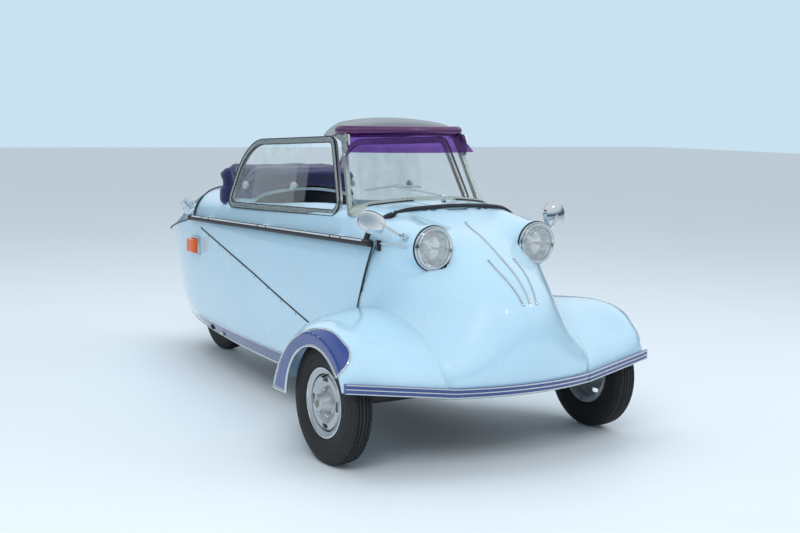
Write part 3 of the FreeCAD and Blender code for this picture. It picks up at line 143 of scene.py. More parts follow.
def clear_sheet(name, code, tint_share, haze=0.0, ridges=0.0, body=None):
    # Thin glass or acrylic: what stands behind shows through the tint, and the face mirrors at a slant
    material, tree = blank(name)
    colour, speck = mottled(tree, code, 0.02, 60)
    through = add(tree, "BsdfTransparent", {"Color": colour})
    slant = add(tree, "LayerWeight", {"Blend": 0.5})
    slant = add(tree, "Math", {0: slant.outputs["Facing"], 1: 5.0}, operation="POWER")
    slant = add(tree, "Math", {0: slant.outputs[0], 1: 0.7}, operation="MULTIPLY")
    face = add(tree, "BsdfPrincipled", {"Base Color": linear(body or code), "Roughness": 0.04 + haze})
    if ridges:
        place = add(tree, "TexCoord")
        waves = add(tree, "TexWave", {"Vector": place.outputs["Object"], "Scale": 0.5 / (ridges * MM)},
                    wave_type="BANDS", bands_direction="X")
        bumps = add(tree, "Bump", {"Height": waves.outputs["Fac"], "Strength": 0.8, "Distance": 0.0015})
        tree.links.new(bumps.outputs[0], face.inputs["Normal"])
    share = add(tree, "Math", {0: slant.outputs[0], 1: tint_share}, operation="ADD", use_clamp=True)
    surface = add(tree, "MixShader", {0: share.outputs[0], 1: through.outputs[0], 2: face.outputs[0]})
    add(tree, "OutputMaterial", {"Surface": surface.outputs[0]})
    return material


print("tools ready")

# %% [markdown]
# ## Finishes
# The body is sprayed in a pale blue enamel that was flatted and lacquered, so it gets a clear coat over
# a barely drifting colour. Bright parts are plated steel, the dome and the window frames are bare
# aluminium, and the tyres are carbon-black rubber, which looks grey where the light grazes it.

# %% Materials
paint = finish("pale_blue_enamel", "#B1D3E6", 0.28, 0.03, grain=400, tint=0.02, coat=1.0)
navy = finish("dark_blue_enamel", "#143680", 0.28, 0.03, grain=300, tint=0.03, coat=1.0)
chrome = finish("chromium_plate", "#D2D5D8", 0.08, 0.03, metallic=1.0, grain=60, tint=0.02)
dome_metal = finish("brushed_aluminium", "#A2A6AB", 0.33, 0.07, metallic=1.0, grain=4, tint=0.05,
                    stretch=(1, 30, 1), bump=0.02)
alloy = finish("window_aluminium", "#B3BBB7", 0.3, 0.05, metallic=0.75, grain=12, tint=0.04)
rubber = finish("black_rubber", "#15161A", 0.5, 0.08, grain=8, tint=0.15)
tyre = finish("tyre_rubber", "#1B1C1E", 0.72, 0.08, grain=14, tint=0.2, bump=0.15)
glass = clear_sheet("clear_glass", "#FBFDFD", 0.02)
lens_glass = clear_sheet("fluted_lamp_glass", "#FCFEFE", 0.2, 0.05, ridges=7)
tinted = clear_sheet("purple_acrylic", "#C4A4DA", 0.08, body="#5A2670")
amber = finish("amber_acrylic", "#E0651E", 0.15, 0.04, grain=20, tint=0.05, coat=0.4)
ruby = finish("red_acrylic", "#B01218", 0.15, 0.04, grain=20, tint=0.05, coat=0.4)
vinyl = finish("red_vinyl", "#9E1D1B", 0.42, 0.08, grain=3, tint=0.1, bump=0.12)
cloth = finish("navy_hood_cloth", "#1F2650", 0.9, 0.05, grain=2, tint=0.25, bump=0.3, sheen=0.4)
wheel_paint = finish("silver_enamel", "#B4B7BA", 0.32, 0.05, metallic=0.6, grain=50, tint=0.04, coat=0.3)
chassis = finish("chassis_enamel", "#1A1B1E", 0.5, 0.08, grain=40, tint=0.15)
casting = finish("cast_aluminium", "#8E9194", 0.55, 0.08, metallic=0.7, grain=5, tint=0.12, bump=0.2)
olive = finish("olive_grey_enamel", "#6F7166", 0.35, 0.05, grain=20, tint=0.05, coat=0.3)
plum = finish("purple_rolled_edge", "#4B1650", 0.12, 0.03, grain=60, tint=0.06, coat=0.6)
clear_knob = clear_sheet("clear_acrylic", "#E6EEEE", 0.35)
mirror_glass = finish("silvered_mirror", "#E8EBEE", 0.02, 0.01, metallic=1.0, grain=80, tint=0.005)
frosted = finish("frosted_bulb", "#E9EDE6", 0.4, 0.05, grain=10, tint=0.02, coat=0.3)
dial_face = finish("gauge_dial", "#20242C", 0.35, 0.05, grain=4, tint=0.25)

CAD_FINISH = {
    paint: ("nose_shell", "side_panels", "tail_shell", "tail_deck", "wings", "canopy_ring", "dash"),
    rubber: ("belt_rails",),
    alloy: ("window_frames", "screen_frame"),
    glass: ("screen_glass", "window_panes"),
    lens_glass: ("headlamp_glass",),
    dome_metal: ("roof_header",),
    tinted: ("sun_visor",),
    chrome: ("wiper", "headlamps", "mirrors", "filler_cap"),
    wheel_paint: ("rim_front_left", "rim_front_right", "rim_rear"),
    tyre: ("tyre_front_left", "tyre_front_right", "tyre_rear"),
    chassis: ("knuckle_left", "knuckle_right", "front_axle", "rear_arm", "bulkhead", "handlebar",
              "rear_frame", "silencer", "seat_frames", "floor_pan"),
    casting: ("engine_block",),
    vinyl: ("seat_front", "seat_rear"),
    cloth: ("folded_hood",),
    navy: ("bumper_strip",),
    amber: ("indicators",),
    ruby: ("tail_lamps",),
}
for material, names in CAD_FINISH.items():
    for name in names:
        nodes[name].data.materials.clear()
        nodes[name].data.materials.append(material)
print("finished solids:", sum(len(names) for names in CAD_FINISH.values()))

# %% [markdown]
# ## Building trim in place
# Trim is drawn as lines in millimetres and laid on the solids themselves: a line is pressed onto the
# nearest skin, or shot at it from one side, so a bead follows the panel that carries it.

# %% Shape tools


def circle(middle, across, other, radius, count):
    turns = [2 * math.pi * k / count for k in range(count)]
    return [middle + (across * math.cos(t) + other * math.sin(t)) * radius for t in turns]


class Piece:
    # Points in millimetres and faces, gathered until the piece is made
    def __init__(self):
        self.points = []
        self.faces = []

    def skin(self, rings, loop=False, caps=True):
        start = len(self.points)
        count = len(rings[0])
        for ring in rings:
            self.points.extend(ring)
        for i in range(len(rings) if loop else len(rings) - 1):
            a = start + i * count
            b = start + ((i + 1) % len(rings)) * count
            for k in range(count):
                n = (k + 1) % count
                self.faces.append((a + k, a + n, b + n, b + k))
        if caps and not loop:
            self.faces.append(tuple(range(start + count - 1, start - 1, -1)))
            last = start + (len(rings) - 1) * count
            self.faces.append(tuple(range(last, last + count)))

    def bead(self, line, width, height, ups=None, loop=False, sides=10):
        # A tube along a line, `width` across the surface and `height` off it
        rings = []
        for i, point in enumerate(line):
            before = line[i - 1] if i or loop else point
            after = line[(i + 1) % len(line)] if i < len(line) - 1 or loop else point
            along = (after - before).normalized()
            up = ups[i] if ups else (Z if abs(along.z) < 0.9 else X)
            across = along.cross(up).normalized()
            up = across.cross(along)
            turns = [2 * math.pi * k / sides for k in range(sides)]
            rings.append([point + across * (math.cos(t) * width / 2) + up * (math.sin(t) * height)
                          for t in turns])
        self.skin(rings, loop)

    def dome(self, place, up, radius, height, sides=12):
        # A low round head standing on a surface
        up = up.normalized()
        across = up.orthogonal().normalized()
        other = up.cross(across)
        rings = []
        for share, lift in ((1, -0.4), (1, 0.25), (0.85, 0.7), (0.5, 0.95), (0.12, 1)):
            rings.append(circle(place + up * (lift * height), across, other, radius * share, sides))
        self.skin(rings)

    def lay(self, hits, width, height, lift=0.0, shift=Vector()):
        # A bead through the shots that met a surface, raised by `lift` and moved by `shift`
        hits = [hit for hit in hits if hit]
        self.bead([p + up * lift + shift for p, up in hits], width, height, [up for p, up in hits])
        return hits

    def sheet(self, rows, loop=False):
        # An open skin between rows of points
        start, count = len(self.points), len(rows[0])
        for row in rows:
            self.points.extend(row)
        for i in range(len(rows) if loop else len(rows) - 1):
            a, b = start + i * count, start + (i + 1) % len(rows) * count
            self.faces += [(a + k, a + k + 1, b + k + 1, b + k) for k in range(count - 1)]

    def turned(self, profile, sides, middle):
        # An open ring about an axis along X through `middle`. The profile gives for each point how far
        # along it is, its radius, and how deep every fourth step is cut there.
        rows = []
        for k in range(sides):
            t = 2 * math.pi * k / sides
            way = Y * math.cos(t) + Z * math.sin(t)
            foot = Vector((0, middle[1], middle[2]))
            rows.append([foot + X * x + way * (r - cut if k % 4 == 0 else r) for x, r, cut in profile])
        self.sheet(rows, loop=True)

    def make(self, name, material, body, sharp=35):
        data = bpy.data.meshes.new(name)
        data.from_pydata([p * MM for p in self.points], [], self.faces)
        form = bmesh.new()
        form.from_mesh(data)
        bmesh.ops.recalc_face_normals(form, faces=form.faces)
        form.to_mesh(data)
        form.free()
        data.polygons.foreach_set("use_smooth", [True] * len(data.polygons))
        data.set_sharp_from_angle(angle=math.radians(sharp))
        data.materials.append(material)
        made = bpy.data.objects.new(name, data)
        bpy.context.scene.collection.objects.link(made)
        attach(made, body)
        return made


trees = {}
finer = {}


def skin_of(*names):
    # The named solids' surfaces, ready to be touched
    if names not in trees:
        points, faces = [], []
        for name in names:
            base = len(points)
            data = finer.get(name, nodes[name].data)
            points += [v.co.copy() for v in data.vertices]
            faces += [[base + i for i in face.vertices] for face in data.polygons]
        trees[names] = BVHTree.FromPolygons(points, faces)
    return trees[names]


def shoot(tree, start, direction, reach=3000):
    # Where a ray meets a surface and how the surface faces there, or None
    direction = Vector(direction).normalized()
    place, facing, index, far = tree.ray_cast(Vector(start) * MM, direction, reach * MM)
    if place is None:
        return None
    if facing.dot(direction) > 0:
        facing = -facing
    return place / MM, facing


def press(tree, point, outside):
    # The nearest place on a surface, facing the side that `outside` lies on
    place, facing, index, far = tree.find_nearest(Vector(point) * MM)
    place = place / MM
    if facing.dot(Vector(outside) - place) < 0:
        facing = -facing
    return place, facing


def dense(points, step=15.0, smooth=True):
    # Points every `step` mm along straight runs, or along the smooth curve through them
    points = [Vector(p) for p in points]
    out = []
    for i in range(len(points) - 1):
        p1, p2 = points[i], points[i + 1]
        p0 = points[i - 1] if i else p1 * 2 - p2
        p3 = points[i + 2] if i + 2 < len(points) else p2 * 2 - p1
        count = max(1, round((p2 - p1).length / step))
        for k in range(count):
            t = k / count
            if smooth:
                out.append(0.5 * (2 * p1 + (p2 - p0) * t + (2 * p0 - 5 * p1 + 4 * p2 - p3) * t ** 2
                                  + (3 * p1 - p0 - 3 * p2 + p3) * t ** 3))
            else:
                out.append(p1.lerp(p2, t))
    return out + [points[-1]]


def flip(point, side):
    return Vector((point[0] * side, point[1], point[2]))


SIDES = ((1, "left"), (-1, "right"))
print("shape tools ready")

# %% [markdown]
# ## Nose pressing
# The solid nose joins its forms along hard lines. The real one is a single pressing with soft hollows
# round the lamp pods. Its skin is remeshed into even small faces, laid back on the solid and relaxed
# where the forms meet, while its edges, its lamp openings and its lower half stay where they are.

# %% Nose skin


def mesh_of(holder):
    graph = bpy.context.evaluated_depsgraph_get()
    return bpy.data.meshes.new_from_object(holder.evaluated_get(graph))


def remeshed(name, data, voxel):
    holder = bpy.data.objects.new(name, data.copy())
    bpy.context.scene.collection.objects.link(holder)
    change = holder.modifiers.new("even_faces", "REMESH")
    change.mode = "VOXEL"
    change.voxel_size = voxel * MM
    even = mesh_of(holder)
    holder.modifiers.clear()
    holder.data = even
    return holder


def places_of(data):
    flat = np.empty(len(data.vertices) * 3)
    data.vertices.foreach_get("co", flat)
    return flat.reshape(-1, 3) / MM


def facings_of(data):
    flat = np.empty(len(data.vertices) * 3)
    data.vertices.foreach_get("normal", flat)
    return flat.reshape(-1, 3)


def ends_of(data):
    ends = np.empty(len(data.edges) * 2, dtype=np.int64)
    data.edges.foreach_get("vertices", ends)
    return ends[0::2], ends[1::2]


def gathered(a, b, values):
    # For each vertex, the sum of what its neighbours carry
    count = len(values)
    return np.stack([np.bincount(a, values[b, k], count) + np.bincount(b, values[a, k], count)
                     for k in range(3)], 1)


def relax(data, places, weight, rounds):
    a, b = ends_of(data)
    count = len(places)
    degree = np.maximum(1, np.bincount(a, minlength=count) + np.bincount(b, minlength=count))
    for _ in range(rounds):
        places = places + 0.5 * weight[:, None] * (gathered(a, b, places) / degree[:, None] - places)
    return places


def evened(data, rounds):
    # Vertex facings averaged with their neighbours', except across a fold
    facings = facings_of(data)
    a, b = ends_of(data)
    level = np.einsum("ij,ij->i", facings[a], facings[b]) > 0.75
    a, b = a[level], b[level]
    for _ in range(rounds):
        total = gathered(a, b, facings) + facings
        facings = total / np.maximum(np.linalg.norm(total, axis=1), 1e-9)[:, None]
    data.normals_split_custom_set_from_vertices(facings.tolist())


def rise(low, high, values):
    share = np.clip((values - low) / (high - low), 0, 1)
    return share * share * (3 - 2 * share)


NOSE_VOXEL = 6
# The cowl's edge is an arc in plan, the belt rail starts at BELT_Y, and the side seam leans back from it
COWL_MIDDLE_Y, COWL_RADIUS = -167.0, 779.0
BELT_Y, BELT_Z, SEAM_SLOPE = -925, 705, 0.37
LAMP_PLACE = (216, -1128, 702)
nose = remeshed("nose_pressing", nodes["nose_shell"].data, NOSE_VOXEL)
solid_skin = skin_of("nose_shell")
places = places_of(nose.data)
places = np.array([solid_skin.find_nearest(Vector(p) * MM)[0] for p in places]) / MM
x, y, z = places.T
# How far each point lies from the cowl's edge, the side seam and the lamps, where the skin is held
cowl_far = np.hypot(x, y - COWL_MIDDLE_Y) - (COWL_RADIUS + 3)
seam_far = (BELT_Y + (BELT_Z - z) * SEAM_SLOPE) - y
lamp_far = np.hypot(np.abs(x) - LAMP_PLACE[0], z - LAMP_PLACE[2])
weight = rise(3, 24, cowl_far) * np.where(z < BELT_Z + 7, rise(5, 30, seam_far), 1)
weight *= np.maximum(rise(82, 112, lamp_far), rise(-1112, -1075, y)) * rise(500, 620, z)
places = relax(nose.data, places, weight, 140)
nose.data.vertices.foreach_set("co", (places * MM).ravel())
nose.data.polygons.foreach_set("use_smooth", [True] * len(nose.data.polygons))
evened(nose.data, 30)
nose.data.materials.clear()
nose.data.materials.append(paint)
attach(nose, "body")
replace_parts(nose, "nose_shell")
finer["nose_shell"] = nose.data
trees.clear()
print("nose pressing of", len(nose.data.polygons), "faces")

# %% [markdown]
# ## Wings: dark blue crescents with plated edges
# Each wing's outer face carries a sprayed crescent between the wheel arch and an edge that swings over
# the wing's shoulder. The edge is given as an angle about the wheel and a distance from its middle, and
# the paint is a skin that is shot onto the wing from the side, so it follows the rounded shoulder.

# %% Crescents
WHEEL_Y, WHEEL_Z = -1055.0, 205.0
WING_FACE = 625.5
ARCH = 191.0
PAINT_LIFT = 1.0
# degrees up from straight back, mm from the wheel's middle
CRESCENT = ((0, 290), (24, 254), (51, 239), (64, 235), (79, 238.5), (89, 246), (97, 252), (105, 255.5),
            (112, 257), (120, 258.5), (127, 260), (131, 258.5), (135, 254), (138, 247), (140.5, 237),
            (142, 224), (143, 206))


def crescent_edge(angle):
    angles = [row[0] for row in CRESCENT]
    return float(np.interp(angle, angles, [row[1] for row in CRESCENT]))


def on_wing(side, angle, radius, lift):
    turn = math.radians(angle)
    y = WHEEL_Y + math.cos(turn) * radius
    z = WHEEL_Z + math.sin(turn) * radius
    hit = shoot(skin_of("wings"), (side * 700, y, z), -X * side, 150)
    if hit is None:
        return Vector((side * WING_FACE, y, z)), X * side
    return hit[0] + hit[1] * lift, hit[1]


angles = [i * 1.5 for i in range(86)] + [128 + i * 0.5 for i in range(31)]
shares = [i / 9 for i in range(10)]
for side, word in SIDES:
    patch = Piece()
    patch.sheet([[on_wing(side, a, ARCH + (crescent_edge(a) - ARCH) * s, PAINT_LIFT)[0] for s in shares]
                 for a in angles])
    patch.make("crescent_" + word, navy, "body")
    edges = Piece()
    outer = [(a, crescent_edge(a)) for a in angles]
    inner = [(a, ARCH) for a in angles]
    end = [(143, ARCH + (CRESCENT[-1][1] - ARCH) * s) for s in shares]
    foot = [(1.2, ARCH + (CRESCENT[0][1] - ARCH) * s) for s in shares]
    for line, width, height in ((outer, 7, 3.5), (inner, 10, 4.5), (end, 7, 3.5), (foot, 12, 4)):
        edges.lay([on_wing(side, a, r, PAINT_LIFT) for a, r in line], width, height)
    edges.make("crescent_edges_" + word, chrome, "body")
print("crescents on both wings, arch edge at", ARCH, "mm")

# %% [markdown]
# ## Sill band
# The lower edge of both sides carries a dark blue band under a plated bead. It runs from the wing back
# and comes to a point under the tail.

# %% Sill
SILL_FRONT, SILL_BEND = -640.0, 740.0
SILL_LOW, SILL_TOP = 153.0, 207.0


def sill_way():
    # Start and aim of each shot in plan, from the wing to the tail's tip
    for i in range(93):
        y = SILL_FRONT + (SILL_BEND - SILL_FRONT) * i / 92
        yield Vector((900, y, 0)), -X, SILL_TOP
    for i in range(1, 37):
        turn = math.radians(2.5 * i)
        out = Vector((math.cos(turn), math.sin(turn), 0))
        yield Vector((0, SILL_BEND, 0)) + out * 900, -out, SILL_TOP - 50.0 * i / 36


for side, word in SIDES:
    shell = skin_of("side_panels", "tail_shell")
    rows = []
    for start, aim, top in sill_way():
        row = [shoot(shell, (start.x * side, start.y, SILL_LOW + (top - SILL_LOW) * k / 4),
                     (aim.x * side, aim.y, 0)) for k in range(5)]
        if None not in row:
            rows.append([(p + up * 0.8, up) for p, up in row])
    band = Piece()
    band.sheet([[p for p, up in row] for row in rows])
    band.make("sill_band_" + word, navy, "body")
    edge = Piece()
    for at, width, height in ((-1, 8, 3.5), (0, 7, 3.0)):
        edge.lay([row[at] for row in rows], width, height)
    edge.make("sill_edges_" + word, chrome, "body")
    print("sill band", word, "of", len(rows), "steps")

# %% [markdown]
# ## Seams
# The panels butt with a rubber bead between them, held by small screws. The bead lies in the seam and
# stands a little proud, so each panel's edge shows as a dark line.

# %% Beads and screws
DIAGONAL = ((642, 621), (40, 490), (-481, 364), (-600, 336))
NOSE_SEAM = ((-922, 700), (-905, 653), (-833, 458), (-792, 346), (-757, 250))
DECK_SEAM = ((268, 661), (259, 702), (239, 737), (215, 760), (180, 783), (121, 798), (0, 812))
# The lip round the tail starts here and falls to the rear
LIP_Y, LIP_Z, LIP_FALL = 740, 661, 118 / 670
SEAM_BEAD = (6.5, 2.8, 0.2)
screws = Piece()
for side, word in SIDES:
    beads = Piece()
    shell = skin_of("side_panels", "tail_shell")
    line = beads.lay([shoot(shell, (side * 900, p.y, p.z), -X * side) for p in
                      dense([(0, y, z - 5) for y, z in DIAGONAL], 15, False)], *SEAM_BEAD, Z * 5)
    for p, up in line[6:-6:9]:
        screws.dome(p - Z * 6 + up * 0.2, up, 4.2, 2.4)
    beads.lay([shoot(skin_of("side_panels", "nose_shell"), (side * 900, p.y + 5, p.z), -X * side)
               for p in dense([(0, y, z) for y, z in NOSE_SEAM], 15)], *SEAM_BEAD, -Y * 5)
    beads.make("seam_beads_" + word, rubber, "body")
deck = Piece()
arch_line = dense([(x, 743, z) for x, z in DECK_SEAM] + [(-x, 743, z) for x, z in DECK_SEAM[-2::-1]], 12)
deck.bead(arch_line, 9, 4, [Vector((p.x, 0, p.z - 560)).normalized() for p in arch_line])
deck.make("deck_seam_bead", rubber, "body")
# A black bead round the tail's lip, where the deck overhangs: painted shade that stands in for the shadow
# under the lip.
lip, line, facings = Piece(), [], []
for i in range(73):
    turn = math.radians(-2 + 184 * i / 72)
    way = Vector((math.cos(turn), math.sin(turn), 0))
    y = LIP_Y + 300 * max(0, way.y)
    for _ in range(5):
        start = Vector((0, LIP_Y + 5, LIP_Z - (y - LIP_Y) * LIP_FALL - 2)) + way * 1000
        hit = shoot(skin_of("tail_deck", "tail_shell", "side_panels"), start, -way, 990)
        if hit is None:
            break
        y = hit[0].y
    if hit and y > LIP_Y + 2:
        line.append(hit[0] + way * 0.5)
        facings.append(way)
lip.bead(line, 6, 4.5, facings)
lip.make("lip_painted_shade", rubber, "body")
screws.make("seam_screws", chrome, "body")

# The bead round the cowl stands on the higher of the two panels' edges
COWL_Z, CORNER_X = 700, -222
cowl, line, facings = Piece(), [], []
for i in range(81):
    turn = math.radians(2 + 176 * i / 80)
    way = Vector((math.cos(turn), 0, math.sin(turn)))
    x, found = 300 * way.x, []
    for _ in range(4):
        y = COWL_MIDDLE_Y - math.sqrt(COWL_RADIUS ** 2 - x ** 2)
        start = Vector((0, y, COWL_Z)) + way * 600
        found = [shoot(skin_of(name), start + Y * shift, -way, 560)
                 for name, shift in (("nose_shell", -7), ("canopy_ring", 7))]
        found = [hit for hit in found if hit]
        if not found:
            break
        x = found[0][0].x
    if found:
        top = max(found, key=lambda hit: (hit[0] - Z * COWL_Z).dot(way))
        line.append(Vector((top[0].x, y, top[0].z)) + way * 1.5)
        facings.append(way)
for _ in range(6):
    line = line[:1] + [(a + b + c) / 3 for a, b, c in zip(line, line[1:], line[2:])] + line[-1:]
line = [(p + up * 2 - Y * 3.5, up) for p, up in zip(line, facings)]
cowl.lay(line, 19, 7)
# The right corner swings past the nose, so its gap is wider and carries a broad gasket
cowl.lay([hit for hit in line if hit[0].x < CORNER_X], 24, 7, -1, Y * 9)
cowl.make("cowl_bead", rubber, "body")
print("seam beads laid, cowl bead of", len(line), "steps")

# %% [markdown]
# ## Nose and bumper
# Three slim plated strips run down the nose, the middle one up to the cowl. The bumper is a pressed
# strip with two painted bands between three plated beads.

# %% Nose strips and bumper beads
NOSE_STRIPS = (
    ((0, -1006, 772), (0, -1185, 686), (0, -1301, 617), (0, -1376, 539)),
    ((52, -1217, 663), (49, -1277, 624), (27, -1378, 536)),
    ((-52, -1217, 663), (-49, -1277, 624), (-27, -1378, 536)),
)
strips = Piece()
slant = Vector((0, -0.75, 0.66))
for points in NOSE_STRIPS:
    hits = [shoot(skin_of("nose_shell"), p + slant * 150, -slant, 260) for p in dense(points, 12)]
    line = strips.lay(hits, 7, 4, 0.5)
    for p, up in (line[0], line[-1]):
        strips.dome(p + up * 0.5, up, 5, 4.5)
strips.make("nose_strips", chrome, "body")

# Each bead's height on the strip, whose lower edge rises from the nose's corner to the wing's end
BUMPER_RAILS = (3.5, 17.0, 30.5)
BUMPER_Z, BUMPER_RISE, NOSE_CORNER, WING_END = 245, 33, 277, 628
beads = Piece()
for up_by in BUMPER_RAILS:
    hits = []
    for i in range(129):
        x = (WING_END - 1) * (i / 64 - 1)
        z = BUMPER_Z + up_by + BUMPER_RISE * max(0, (abs(x) - NOSE_CORNER) / (WING_END - NOSE_CORNER))
        hits.append(shoot(skin_of("bumper_strip"), (x, -1650, z), Y, 500))
    line = beads.lay(hits, 5.5, 3.6)
beads.make("bumper_beads", chrome, "body")
print("bumper beads of", len(line), "steps")

# %% [markdown]
# ## Tyres
# The solid tyres are plain turned rings. Road tyres of this size have ribs round the tread with small
# cross cuts, and moulded rings on the walls, so each is shown by a finer turned skin whose outline
# dips at the grooves and, on the shoulder ribs, at every cross cut.

# %% Tyres and hub caps
# along from the wheel's middle and distance from its axis, from the bead to the tread
TYRE_WALL = ((29.5, 115.4), (33, 118), (38, 126), (40.5, 133), (42.6, 141), (43.2, 146), (42.4, 148),
             (43.4, 151), (43.6, 160), (43.0, 168), (42.0, 170), (42.6, 173), (40.6, 181), (38.2, 188),
             (36.4, 190.5), (35.4, 194), (32.2, 199), (29.5, 201.6))
# rib edges on the tread, with a groove between each pair
RIBS = ((29.5, 19.5), (16.5, 8.5), (5.5, -5.5), (-8.5, -16.5), (-19.5, -29.5))
GROOVE = 5.0
WHEELS = (("front_left", (552, -1055, 205), 1), ("front_right", (-552, -1055, 205), -1),
          ("rear", (0, 972, 205), -1))


def crown(x):
    return 205 - 3.0 * (x / 29.5) ** 2


def tyre_outline():
    # along, radius, and how deep a cross cut takes this point
    rows = [(x, r, 0) for x, r in TYRE_WALL[:-1]]
    for first, last in RIBS:
        shoulder = 2.6 if abs(first + last) > 40 else 0
        cut = 3.0 if shoulder else 1.6
        rows += [(first, crown(first) - GROOVE, 0) if rows[-1][0] < 29.4 else (first, crown(first), 0)]
        rows += [(first - 0.4, crown(first), cut), ((first + last) / 2, crown((first + last) / 2), cut),
                 (last + 0.4, crown(last), cut), (last, crown(last) - GROOVE, 0)]
    rows[-1] = (RIBS[-1][1], crown(29.5), 0)
    return rows + [(-x, r, 0) for x, r in TYRE_WALL[-2::-1]]


STEPS = 216
# along and radius of the bright ring over the rim's flange
RIM_RING = ((32, 117), (34.6, 116.2), (35.2, 114), (34.4, 111.6), (31, 110.4))
outline = tyre_outline()
for name, middle, outward in WHEELS:
    piece = Piece()
    piece.turned([(middle[0] + x * outward, r, cut) for x, r, cut in outline], STEPS, middle)
    made = piece.make("road_tyre_" + name, tyre, "wheel_" + name, 28)
    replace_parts(made, "tyre_" + name)
    # The hub's cap, a rim ring over the flange, the nuts and the valve
    middle = Vector(middle)
    axle = X * outward
    cap = Piece()
    cap.dome(middle + axle * 57.6, axle, 13, 5, 24)
    cap.make("hub_cap_" + name, olive, "wheel_" + name)
    bright = Piece()
    bright.turned([(middle.x + outward * a, r, 0) for a, r in RIM_RING], 96, middle)
    for k in range(5):
        turn = 2 * math.pi * (k + 0.25) / 5
        way = Y * math.cos(turn) + Z * math.sin(turn)
        place = middle + axle * 22 + way * 47
        bright.bead([place, place + axle * 11], 13, 6.5, sides=6)
        bright.dome(place + axle * 11, axle, 5, 3)
    bright.make("wheel_brightwork_" + name, chrome, "wheel_" + name)
    valve = Piece()
    foot = middle + axle * 20 + Z * 92
    valve.bead([foot, foot + axle * 12 - Z * 4, foot + axle * 22 - Z * 5], 6, 3)
    valve.make("valve_" + name, rubber, "wheel_" + name)
print("tyres of", STEPS * (len(outline) - 1), "faces each")

# %% [markdown]
# ## Windows, screen and dome
# The side windows sit in aluminium frames on rubber. The panes slide, and are pulled by small clear
# knobs. The dome's front edge carries a rolled bead over the tinted visor.

# %% Window trim
WINDOW = ((-645, 773, 50), (388, 735, 40), (262, 1022, 250), (-505, 1056, 55))
WINDOW_PLANE = (Vector((292, -580, 775)), Vector((272, 340, 738)), Vector((248, -464, 1050)))
facing = (WINDOW_PLANE[1] - WINDOW_PLANE[0]).cross(WINDOW_PLANE[2] - WINDOW_PLANE[0]).normalized()
WINDOW_OUT = facing if facing.x > 0 else -facing


def on_window(y, z, side=1, lift=0.0):
    first = WINDOW_PLANE[0]
    away = WINDOW_OUT.y * (y - first.y) + WINDOW_OUT.z * (z - first.z)
    point = Vector((first.x - away / WINDOW_OUT.x, y, z)) + WINDOW_OUT * lift
    return flip(point, side)


def round_corner(before, here, after, radius, steps=9):
    a, b = (before - here).normalized(), (after - here).normalized()
    half = a.angle(b) / 2
    middle = here + (a + b).normalized() * (radius / math.sin(half))
    start, end = here + a * (radius / math.tan(half)), here + b * (radius / math.tan(half))
    out = []
    for k in range(steps + 1):
        way = (start - middle).lerp(end - middle, k / steps).normalized()
        out.append(middle + way * radius)
    return out


def window_line(inset, lift, side):
    corners = [Vector((0, y, z)) for y, z, r in WINDOW]
    middle = sum(corners, Vector()) / 4
    line = []
    for i, (y, z, radius) in enumerate(WINDOW):
        line += round_corner(corners[i - 1], corners[i], corners[(i + 1) % 4], radius)
    if inset:
        moved = []
        for i, p in enumerate(line):
            along = line[(i + 1) % len(line)] - line[i - 1]
            inward = Vector((0, -along.z, along.y)).normalized()
            if inward.dot(middle - p) < 0:
                inward = -inward
            moved.append(p + inward * inset)
        line = moved
    return [on_window(p.y, p.z, side, lift) for p in line]


# distance in from the frame's outer edge, width and height of the two rubber lines
WINDOW_SEALS = ((20.5, 4, 2.2), (-1.0, 4, 3.5))
SILL_SCREWS = ((-560, 782), (-350, 773), (-120, 765), (110, 757), (320, 749))
KNOBS = ((224, 836), (-225, 858))
CORNER_PLATE = ((-520, 1054), (-560, 1074), (-628, 1066), (-640, 1030), (-622, 992), (-604, 980),
                (-596, 1020), (-575, 1040))
PLATE_SCREWS = ((-560, 1060), (-596, 1058), (-622, 1046), (-624, 1016), (-612, 994))
# name, depth behind the frame's face, front and rear y
PANES = (("rear_pane", 2.5, -235, 400), ("front_pane", 7.0, -320, 158))
PANE_THICK = 3.5
for side, word in SIDES:
    out = flip(WINDOW_OUT, side)
    seals = Piece()
    for inset, width, height in WINDOW_SEALS:
        line = window_line(inset, -1.0, side)
        seals.bead(line, width, height, [out] * len(line), loop=True)
    seals.make("window_seals_" + word, rubber, "canopy")
    knobs = Piece()
    for y, z in KNOBS:
        foot = on_window(y, z, side, -2)
        knobs.dome(foot, out, 17, 10, 20)
        knobs.dome(on_window(y, z, side, -8), -out, 14, 8, 20)
    knobs.make("pane_knobs_" + word, clear_knob, "canopy")
    bright = Piece()
    top = window_line(6.5, 0.4, side)
    rail = [p for p in top if p.z > 960]
    for i in range(4, len(rail) - 3, 3):
        bright.dome(rail[i], out, 4, 2)
    line = window_line(9, 0.3, side)
    bright.bead(line, 2.4, 1.4, [out] * len(line), loop=True)
    for y, z in SILL_SCREWS:
        bright.dome(on_window(y, z, side, 0.4), out, 3.6, 2)
    bright.make("window_screws_" + word, chrome, "canopy")
    # A plate ties each frame's front corner to the dome
    plate = Piece()
    plate.skin([[on_window(y, z, side, lift) for y, z in CORNER_PLATE] for lift in (7, 2)])
    plate.make("corner_plates_" + word, alloy, "canopy")
    fixings = Piece()
    for y, z in PLATE_SCREWS:
        fixings.dome(on_window(y, z, side, 7.2), out, 4.5, 2.6)
    fixings.make("corner_screws_" + word, chrome, "canopy")
    # The panes stand as they were left: the front one slid back over the rear one
    for label, depth, low_y, high_y in PANES:
        edge = window_line(19.5, -depth, side)
        keep = [Vector((p.x, min(high_y, max(low_y, p.y)), p.z)) for p in edge]
        keep = [on_window(p.y, p.z, side, -depth) for p in keep]
        pane = Piece()
        pane.skin([keep, [p - out * PANE_THICK for p in keep]])
        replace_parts(pane.make(label + "_" + word, glass, "canopy"), "window_panes")
print("window trim on both sides:", len(KNOBS) * 2, "knobs")

